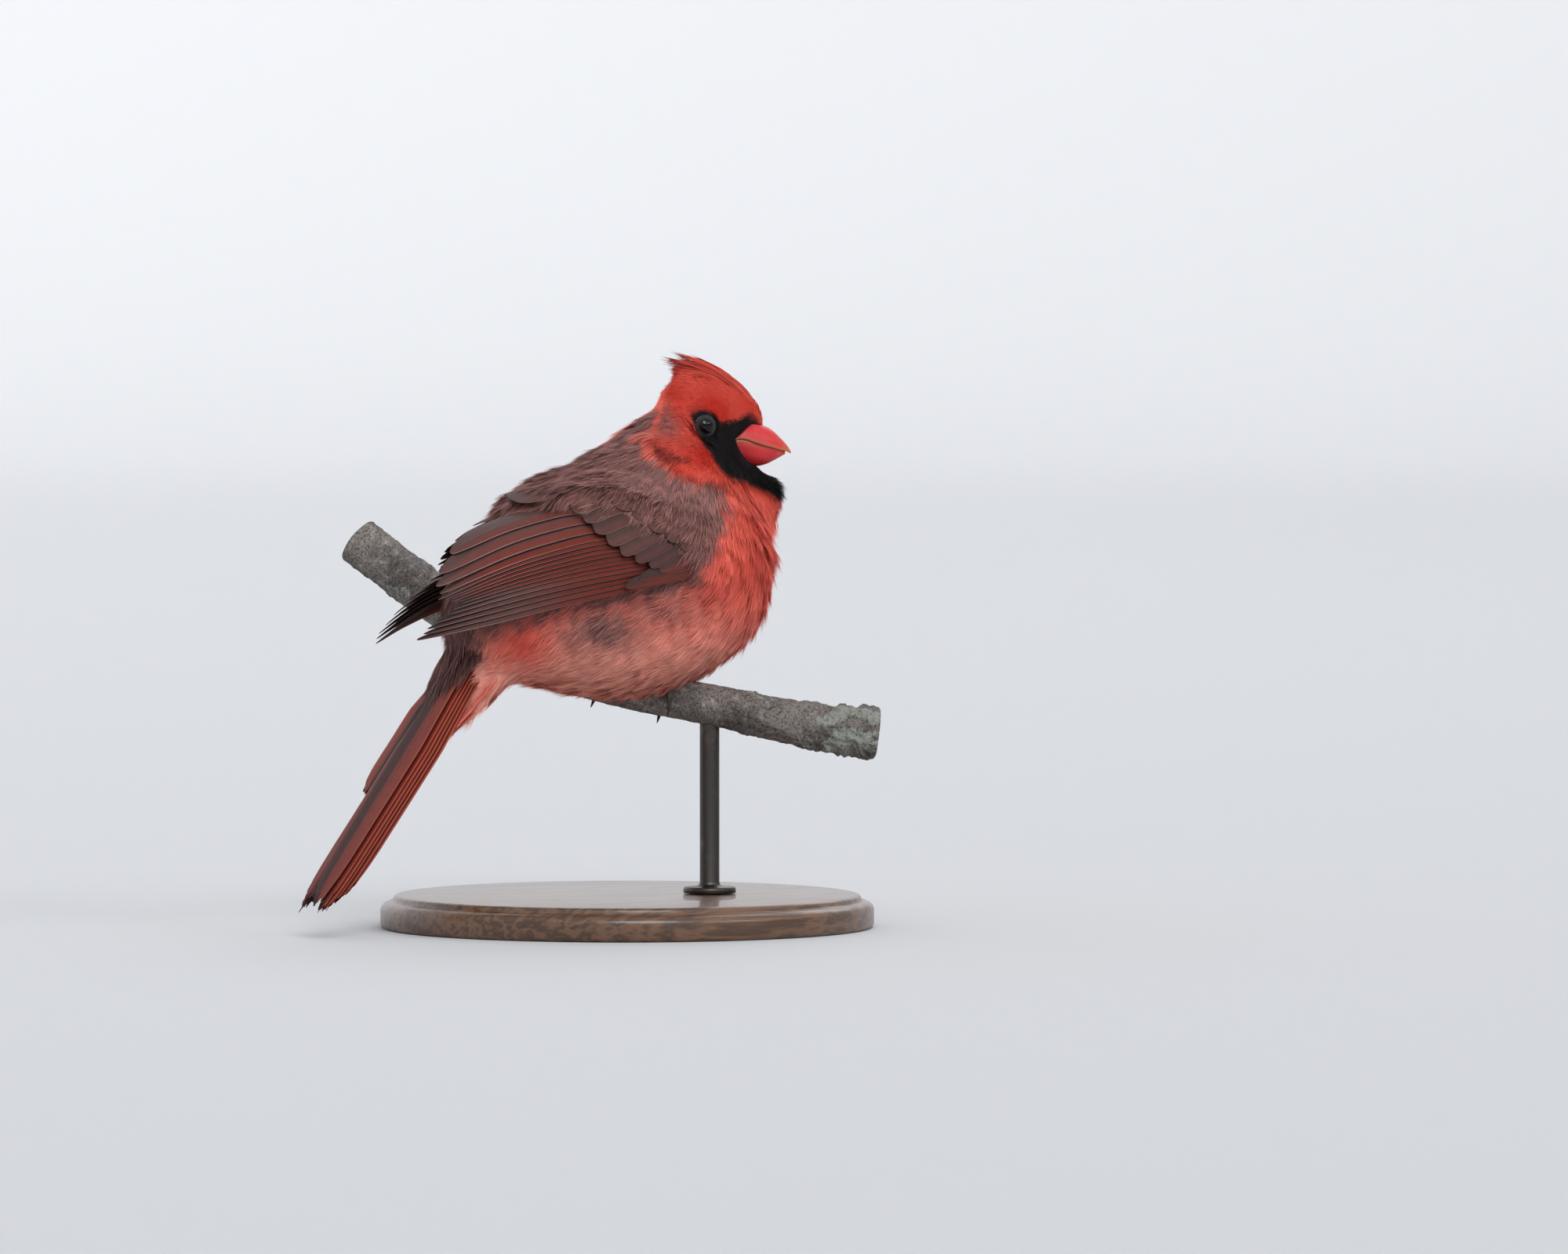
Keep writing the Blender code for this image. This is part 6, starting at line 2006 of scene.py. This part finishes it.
@dataclass
class Perch:
    """The cut branch, and the lines round it that toes follow."""

    turn: float = math.radians(-32)
    middle: float = 2.5
    # Along the line across the picture, height, how far it bends away from that line, radius.
    rows: Rows = table(
        (-83.0, 116.5, 28.0, 7.3), (-71.0, 107.5, 23.0, 7.1), (-54.0, 95.4, 15.5, 6.8), (-38.0, 84.6, 7.5, 6.4),
        (-24.0, 79.3, 1.5, 6.3), (-9.5, 75.0, 0.0, 6.2), (4.8, 71.4, 0.0, 6.2), (23.8, 67.7, 0.0, 6.2),
        (47.6, 62.8, 0.5, 6.5), (62.0, 60.3, 1.5, 6.9), (76.0, 58.6, 2.5, 7.2),
    )
    # Ridges along the branch: how many round it, how fast they turn, height.
    ridges: Rows = table((3, 0.11, 0.22), (5, -0.23, 0.16))
    # Each year's scar: along, half length, height.
    scars: Rows = table(
        (-66.0, 2.5, 0.5), (37.0, 2.2, 0.5), (55.0, 3.0, 0.7), (66.0, 2.5, 0.6), (73.0, 3.5, 0.9),
    )
    # Where the lichen's lumps are: along, reach.
    lumpy: tuple[float, float] = (66.0, 11.0)
    # The bark is calm as far as this from the feet.
    foot_clear: float = 34.0
    rings: int = 330
    sides: int = 84
    cap_rings: int = 9
    bevel: float = 0.5

    def frame_at(self, along: Array) -> tuple[Array, ...]:
        """The branch's middle, its own direction, the way to its far side, up from it, and its radius."""
        table = np.asarray(self.rows)
        turn = about_z(self.turn)

        def at(x: Array) -> tuple[Array, Array]:
            """Middle and radius."""
            where = np.interp(x, table[:, 0], np.linspace(0, 1, len(table)))
            _, height, away, radius = np.moveaxis(curve(table, where), -1, 0)
            shift = x - self.middle * math.cos(self.turn)
            flat = np.stack([shift, away, 0 * shift], -1) @ turn.T
            return flat + np.stack([self.middle + 0 * height, 0 * height, height], -1), radius

        along = np.asarray(along, float)
        inner = np.clip(along, table[0, 0] + 0.5, table[-1, 0] - 0.5)
        ahead = unit(at(inner + 0.5)[0] - at(inner - 0.5)[0])
        away = unit(np.cross((0.0, 0.0, 1.0), ahead))
        point, radius = at(along)
        return point, ahead, away, np.cross(ahead, away), radius

    def round(self, along: Array, angle: Array, lift: Array) -> tuple[Array, Array]:
        """Points over the bark and the way they face, the angle being from the top down the far side."""
        middle, _, away, over, radius = self.frame_at(along)
        angle = np.asarray(angle, float)[..., None]
        out = away * np.sin(angle) + over * np.cos(angle)
        return middle + out * (radius + lift)[..., None], out

    def build(self) -> bpy.types.Object:
        """Makes the branch with its bark, scars and cut ends."""
        first, last = self.rows[0][0], self.rows[-1][0]
        along = np.linspace(first, last, self.rings)
        middle, ahead, away, over, radius = self.frame_at(along)
        along = along[:, None]
        turn = circle(self.sides)
        clear = np.minimum(np.abs(along - self.middle) / self.foot_clear, 1) ** 4
        swell = sum(h * np.exp(-(((along - a) / w) ** 2)) for a, w, h in self.scars)
        uneven = sum(h * np.sin(n * turn + t * along) for n, t, h in self.ridges)
        size = radius[:, None] + (swell + uneven) * clear
        out = away[:, None] * np.cos(turn)[:, None] + over[:, None] * np.sin(turn)[:, None]
        points = middle[:, None] + out * size[..., None]
        calm = 0.35 + 0.65 * clear
        knots = np.exp(-(((along - self.lumpy[0]) / self.lumpy[1]) ** 2))
        plates = lumps(points, 4.0, 71) * 0.16 + lumps(points, 2.0, 72) * 0.12 + lumps(points, 1.1, 73) * 0.08
        cracks = -0.5 * np.exp(-((lumps(points, 5.5, 74) / 0.07) ** 2))
        wander = 0.6 * lumps(points, 6.0, 75)
        scar = sum(np.exp(-(((along - a + wander) / 0.4) ** 2)) for a, _, _ in self.scars)
        lichen = knots * np.maximum(lumps(points, 4.2, 76), 0) * 0.9 + 0.5 * knots * lumps(points, 2.4, 77)
        relief = (plates + cracks * 0.5 - 0.30 * scar) * calm + lichen * 0.8
        trim = np.minimum(ease(along, first, first + self.bevel), 1 - ease(along, last - self.bevel, last))
        relief = relief * trim - (1 - trim) * 0.35
        points = points + out * relief[..., None]
        line = np.stack([along + 0 * turn, 1 + 0 * size, 0 * size], -1)
        moss = knots * ease(lumps(points, 9.0, 78), -0.6, 0.6) + 0.35 * ease(lumps(points, 24.0, 79), 0.1, 0.8)
        sheaf = Sheaf("branch_bark_piece")
        faces = grid(self.rings, self.sides, wrap=True)
        sheaf.add(points, faces, line=line.reshape(-1, 3), moss=moss.ravel())
        self._cap(sheaf, points, ahead)
        return turned_out(sheaf.build())

    def _cap(self, sheaf: Sheaf, points: Array, ahead: Array) -> None:
        """Closes both ends with a sawn face in rings."""
        inner, hub = (self.cap_rings - 1) * self.sides, self.cap_rings * self.sides
        faces = grid(self.cap_rings, self.sides, wrap=True)
        faces += [(inner + k, inner + (k + 1) % self.sides, hub) for k in range(self.sides)]
        share = np.linspace(1, 0, self.cap_rings + 1)[:-1][:, None, None]
        reach = np.append(np.repeat(share.ravel(), self.sides), 0.0)
        line = np.stack([0 * reach, reach, (reach < 0.985).astype(float)], 1)
        for end, sign in ((0, -1), (-1, 1)):
            middle = points[end].mean(0)
            bulge = ahead[end] * sign * 0.03
            face = middle + (points[end] - middle) * share + bulge * (1 - share)
            sheaf.add(np.concatenate([face.reshape(-1, 3), [middle + bulge]]), faces, line=line, moss=0 * reach)


@dataclass
class Feet:
    """Tarsi, toes with their scutes, and claws."""

    perch: Perch
    apart: float = 9.8
    toe_radius: float = 1.15
    clear: float = 0.4
    # Each toe: side of the branch, shift along it, length.
    toes: dict[str, tuple[int, float, float]] = field(default_factory=lambda: {
        "inner": (1, -6.0, 12.0), "middle": (1, -1.0, 16.5), "outer": (1, 5.0, 13.0), "hind": (-1, 1.0, 12.0),
    })
    hub: tuple[float, float, float] = (3.0, 3.2, 1.9)
    tarsus_radius: float = 1.45
    tarsus_length: float = 13.0
    claw_length: float = 6.5
    claw_radius: float = 0.85
    sides: int = 14
    claw_sides: int = 12

    def middle(self, side: str) -> float:
        """Where along the branch a foot stands."""
        sign = 1 if side == "right" else -1
        return self.perch.middle * math.cos(self.perch.turn) + sign * self.apart

    def _along_toe(self, side: str, toe: tuple[int, float, float], s: Array) -> tuple[Array, Array]:
        """Points along the middle of a toe, 0 at its root and 1 at its end, and the way they face."""
        way, shift, length = toe
        at = self.middle(side)
        lift = self.toe_radius + self.clear
        radius = self.perch.frame_at(np.array(at))[4] + lift
        return self.perch.round(at + shift * s, way * length / radius * s, lift + 0 * s)

    @staticmethod
    def _tube(sheaf: Sheaf, path: Array, out: Array, size: Array) -> None:
        """Adds a closed round rod whose radius size is an array of points by sides."""
        ahead = unit(np.gradient(path, axis=0))
        up = unit(out - (out * ahead).sum(-1, keepdims=True) * ahead)
        side = np.cross(ahead, up)
        turn = circle(size.shape[1])[:, None]
        ring = up[:, None] * np.cos(turn) + side[:, None] * np.sin(turn)
        sheaf.loft(path[:, None] + ring * size[..., None])

    def foot(self, side: str) -> bpy.types.Object:
        """Makes the ball of the foot, its toes and the tarsus that rises into the belly."""
        sheaf = Sheaf("foot_scaled_" + side)
        top = np.clip(np.cos(circle(self.sides)), 0, 1)
        s = np.linspace(0, 1, 46)
        bulge = 0.10 * np.cos(s * math.pi * 4) + 0.10 * np.abs(np.sin(s * math.pi * 11))
        size = self.toe_radius * blend(1.0, 0.78, s)[:, None] + (bulge[:, None] * (0.35 + 0.65 * top)) - 0.06
        size = size * np.where(s > 0.985, 0.8, 1.0)[:, None]
        for toe in self.toes.values():
            self._tube(sheaf, *self._along_toe(side, toe, s), size)
        hub = self.perch.round(np.array(self.middle(side)), np.array(0.0), np.array(self.hub[2] + self.clear))[0]
        sheaf.loft(hub + (ball_rings(self.sides, 0.1) * self.hub) @ about_z(self.perch.turn).T)
        s = np.linspace(0, 1, 60)
        lean = unit(np.array((-0.12, 0.0, 1.0)))
        path = hub + s[:, None] * lean * (self.tarsus_length + self.hub[2] + 0.8)
        scute = 0.09 * np.abs(np.sin(s * math.pi * 12))[:, None] * top
        size = self.tarsus_radius * (1 - 0.05 * np.sin(s * math.pi))[:, None] + scute
        self._tube(sheaf, path, np.array((1.0, 0.0, 0.0)), size)
        return turned_out(sheaf.build())

    def claws(self, side: str) -> bpy.types.Object:
        """Makes a foot's four claws."""
        sheaf = Sheaf("claws_" + side)
        s = np.linspace(0, 1, 24)[:, None]
        far = self.claw_length * s
        size = np.tile(self.claw_radius * (1 - s) ** 0.8 + 0.05, (1, self.claw_sides))
        for toe in self.toes.values():
            points, outs = self._along_toe(side, toe, np.array((0.9, 1.0)))
            ahead = unit(points[1] - points[0])
            path = points[1] + ahead * (far - 0.3) - outs[1] * far**2 / 22.0
            self._tube(sheaf, path, outs[1], size)
        return turned_out(sheaf.build())


@dataclass
class Stand:
    """The turned base and the rod with its flange."""

    radius: float = 75.0
    thick: float = 10.0
    # How far in from the rim, and how high.
    rim: Rows = table(
        (6.0, 10.0), (5.0, 9.9), (4.3, 9.6), (4.0, 9.2), (3.8, 8.4), (3.3, 8.0), (2.4, 7.9), (1.2, 7.4), (0.35, 6.6),
        (0.0, 5.6), (0.0, 1.2), (0.35, 0.4), (1.2, 0.0),
    )
    rod_along: float = 25.0
    rod_radius: float = 3.0
    # How far over the base the flange lies, and how far under the branch's middle the rod ends.
    gap: float = 0.3
    below: float = 5.6
    # How far out from the rod, and how high over the flange's underside.
    flange: Rows = table(
        (0.0, 3.4), (0.25, 2.6), (0.9, 2.1), (4.2, 1.95), (4.75, 1.75), (5.0, 1.3), (5.0, 0.25), (4.8, 0.0),
    )
    steps: int = 144

    def _turned(self, name: str, profile: Rows, centre: Array) -> bpy.types.Object:
        """Makes a turned piece from (radius, height) pairs, from the top down."""
        mesh = bpy.data.meshes.new(name)
        points = [(r * MM, 0, z * MM) for r, z in profile]
        mesh.from_pydata(points, [(i, i + 1) for i in range(len(points) - 1)], [])
        made = placed(name, mesh)
        modified(
            made, "SCREW", steps=self.steps, render_steps=self.steps, use_merge_vertices=True,
            merge_threshold=0.00001,
        )
        settled(made)
        put_points(made.data, points_of(made.data) + centre)
        turned_out(made)
        made.data.shade_smooth()
        modified(made, "EDGE_SPLIT", split_angle=math.radians(50))
        return settled(made)

    def base(self) -> bpy.types.Object:
        """Makes the base."""
        profile = [(0, self.thick), (30.0, self.thick)]
        profile += [(self.radius - inward, height) for inward, height in self.rim] + [(0, 0)]
        return self._turned("stand_base_turned", profile, np.zeros(3))

    def rod(self, perch: Perch) -> bpy.types.Object:
        """Makes the rod, up to just inside the bark."""
        middle = perch.frame_at(np.array(self.rod_along))[0]
        low = self.thick + self.gap
        high = middle[2] - self.below
        profile = [(0, high), (self.rod_radius, high)]
        profile += [(self.rod_radius + out, low + height) for out, height in self.flange] + [(0, low)]
        return self._turned("stand_rod_turned", profile, np.array((middle[0], middle[1], 0.0)))


# Studio


@dataclass
class Studio:
    """Camera, lights, floor and pale surroundings, with angles in degrees and lengths in metres."""

    azimuth: float = -32.0
    elevation: float = 2.0
    distance: float = 3.2
    aim: tuple[float, float, float] = (0.0404, -0.0252, 0.0912)
    lens: float = 242.0
    floor_radii: tuple[float, ...] = (0.02, 1.0, 2.5, 4.0)
    wall_from: float = 6.0
    wall_reach: float = 1.5
    rise: float = 3.5
    sides: int = 96
    exposure: float = 0.16

    def _way(self, azimuth: float, elevation: float) -> Vector:
        """The direction at an angle to the right of the camera and over the horizon."""
        a = math.radians(self.azimuth) + math.radians(azimuth)
        e = math.radians(elevation)
        return Vector((math.sin(a) * math.cos(e), -math.cos(a) * math.cos(e), math.sin(e)))

    def camera(self) -> None:
        """Places the camera at the picture's angle and framing."""
        back = self._way(0, self.elevation)
        data = bpy.data.cameras.new("camera")
        data.lens = self.lens
        data.clip_end = 50
        made = placed("camera", data)
        made.location = Vector(self.aim) + back * self.distance
        made.rotation_euler = back.to_track_quat("Z", "Y").to_euler()
        bpy.context.scene.camera = made

    def sun(self, name: str, azimuth: float, elevation: float, spread: float, strength: float) -> None:
        """Adds an even light from far away.

        Args:
            name: what it is.
            azimuth: its angle round the bird from the camera, to the right.
            elevation: its angle over the horizon.
            spread: how wide it looks from the bird.
            strength: in watts for each square metre.
        """
        data = bpy.data.lights.new(name, "SUN")
        data.angle = math.radians(spread)
        data.energy = strength
        placed(name, data).rotation_euler = self._way(azimuth, elevation).to_track_quat("Z", "Y").to_euler()

    def floor(self, finish: bpy.types.Material) -> None:
        """Makes a round pale floor that rises into a wall all round."""
        quarter = np.linspace(0, math.pi / 2, 12)
        radii = np.concatenate([self.floor_radii, self.wall_from + self.wall_reach * np.sin(quarter)])[:, None]
        heights = np.concatenate([0 * np.array(self.floor_radii), self.rise * (1 - np.cos(quarter))])[:, None]
        turn = circle(self.sides)
        rings = np.stack([radii * np.cos(turn), radii * np.sin(turn), heights + 0 * turn], -1)
        sheaf = Sheaf("studio_floor")
        faces = grid(len(radii), self.sides, wrap=True) + [tuple(range(self.sides))]
        sheaf.add(rings * METRE, faces)
        made = sheaf.build()
        made.data.materials.append(finish)

    def world(self) -> None:
        """Sets the pale surroundings."""
        world = bpy.data.worlds.new("pale_room")
        world.use_nodes = True
        world.node_tree.nodes.clear()
        g = Graph(world.node_tree)
        shader = g.wire("ShaderNodeBackground", {}, {"Color": (0.90, 0.93, 0.98), "Strength": 0.70})
        g.node("ShaderNodeOutputWorld", {}, {"Surface": shader})
        bpy.context.scene.world = world

    def build(self) -> None:
        """Sets up the whole studio."""
        self.camera()
        self.floor(StudioFloor().material())
        self.sun("key", 10, 40, 30, 1.2)
        self.sun("fill", 58, 8, 50, 3.3)
        self.sun("low", 22, 2, 50, 3.0)
        self.sun("back", 165, 40, 40, 0.5)
        self.world()
        view = bpy.context.scene.view_settings
        view.view_transform = "Standard"
        view.look = "None"
        view.exposure = self.exposure


def main() -> None:
    """Builds the pieces in order and reports each."""
    logging.basicConfig(level=logging.INFO, format="%(name)s: %(message)s")
    head = HeadFrame()
    wing_surface = WingSurface()
    plumage = Plumage().material()
    wing_vane = Vane(
        "wing_vane", ground=(0.100, 0.051, 0.046), rust=(0.150, 0.022, 0.013), dark=(0.020, 0.013, 0.012),
        edge=(0.36, 0.23, 0.21),
    ).material()
    tail_vane = Vane(
        "tail_vane", ground=(0.150, 0.045, 0.038), rust=(0.260, 0.034, 0.018), dark=(0.020, 0.012, 0.012),
        edge=(0.42, 0.120, 0.075),
    ).material()
    foot_skin = Skin("foot_scales", (0.035, 0.026, 0.024), (0.12, 0.09, 0.08)).material()
    claw_horn = Skin("claw_horn", (0.018, 0.013, 0.012), (0.05, 0.036, 0.03), 400.0, 0.34).material()
    lid_skin = Skin("lid_skin", (0.012, 0.0125, 0.014), (0.060, 0.062, 0.068), 900.0, 0.5).material()

    tail = Tail()
    skin = BodyForm(head, wing_surface, tail).skin()
    for piece in Coat(head).grow(skin, plumage):
        dress(piece, plumage)
    drop_marks(skin.data, *GROWTH_MARKS)
    skin.name = "body_skin"
    dress(skin, plumage, ("torso", "neck", "head"))

    dress(Crest(head).build(), plumage)
    wing = Wing(wing_surface)
    dress(wing.build(False), wing_vane, ("wing_right",))
    dress(wing.build(True), wing_vane, ("wing_left",))
    dress(tail.build(), tail_vane, ("tail",))
    dress(Coverts(tail, True).build(), plumage, ("tail_coverts_upper",))
    dress(Coverts(tail, False).build(), plumage, ("tail_coverts_under",))

    horn = Horn().material()
    bill = Bill(head)
    dress(bill.build(True), horn, ("bill_upper",))
    dress(bill.build(False), horn, ("bill_lower",))
    glass = EyeGlass().material()
    eyes = Eyes(head)
    for side in ("left", "right"):
        dress(eyes.ball(side), glass, ("eye_" + side,))
        dress(eyes.lid(side), lid_skin)

    perch = Perch()
    dress(perch.build(), Bark().material(), ("perch",))
    feet = Feet(perch)
    for side in ("left", "right"):
        dress(feet.foot(side), foot_skin, ("foot_" + side, "leg_" + side))
        claws = tuple(f"claw_{side}_{toe}" for toe in feet.toes)
        dress(feet.claws(side), claw_horn, claws)

    stand = Stand()
    dress(stand.base(), StainedWood().material(), ("stand_base",))
    dress(stand.rod(perch), DarkMetal().material(), ("stand_rod",))
    Studio().build()


if __name__ == "__main__":
    main()
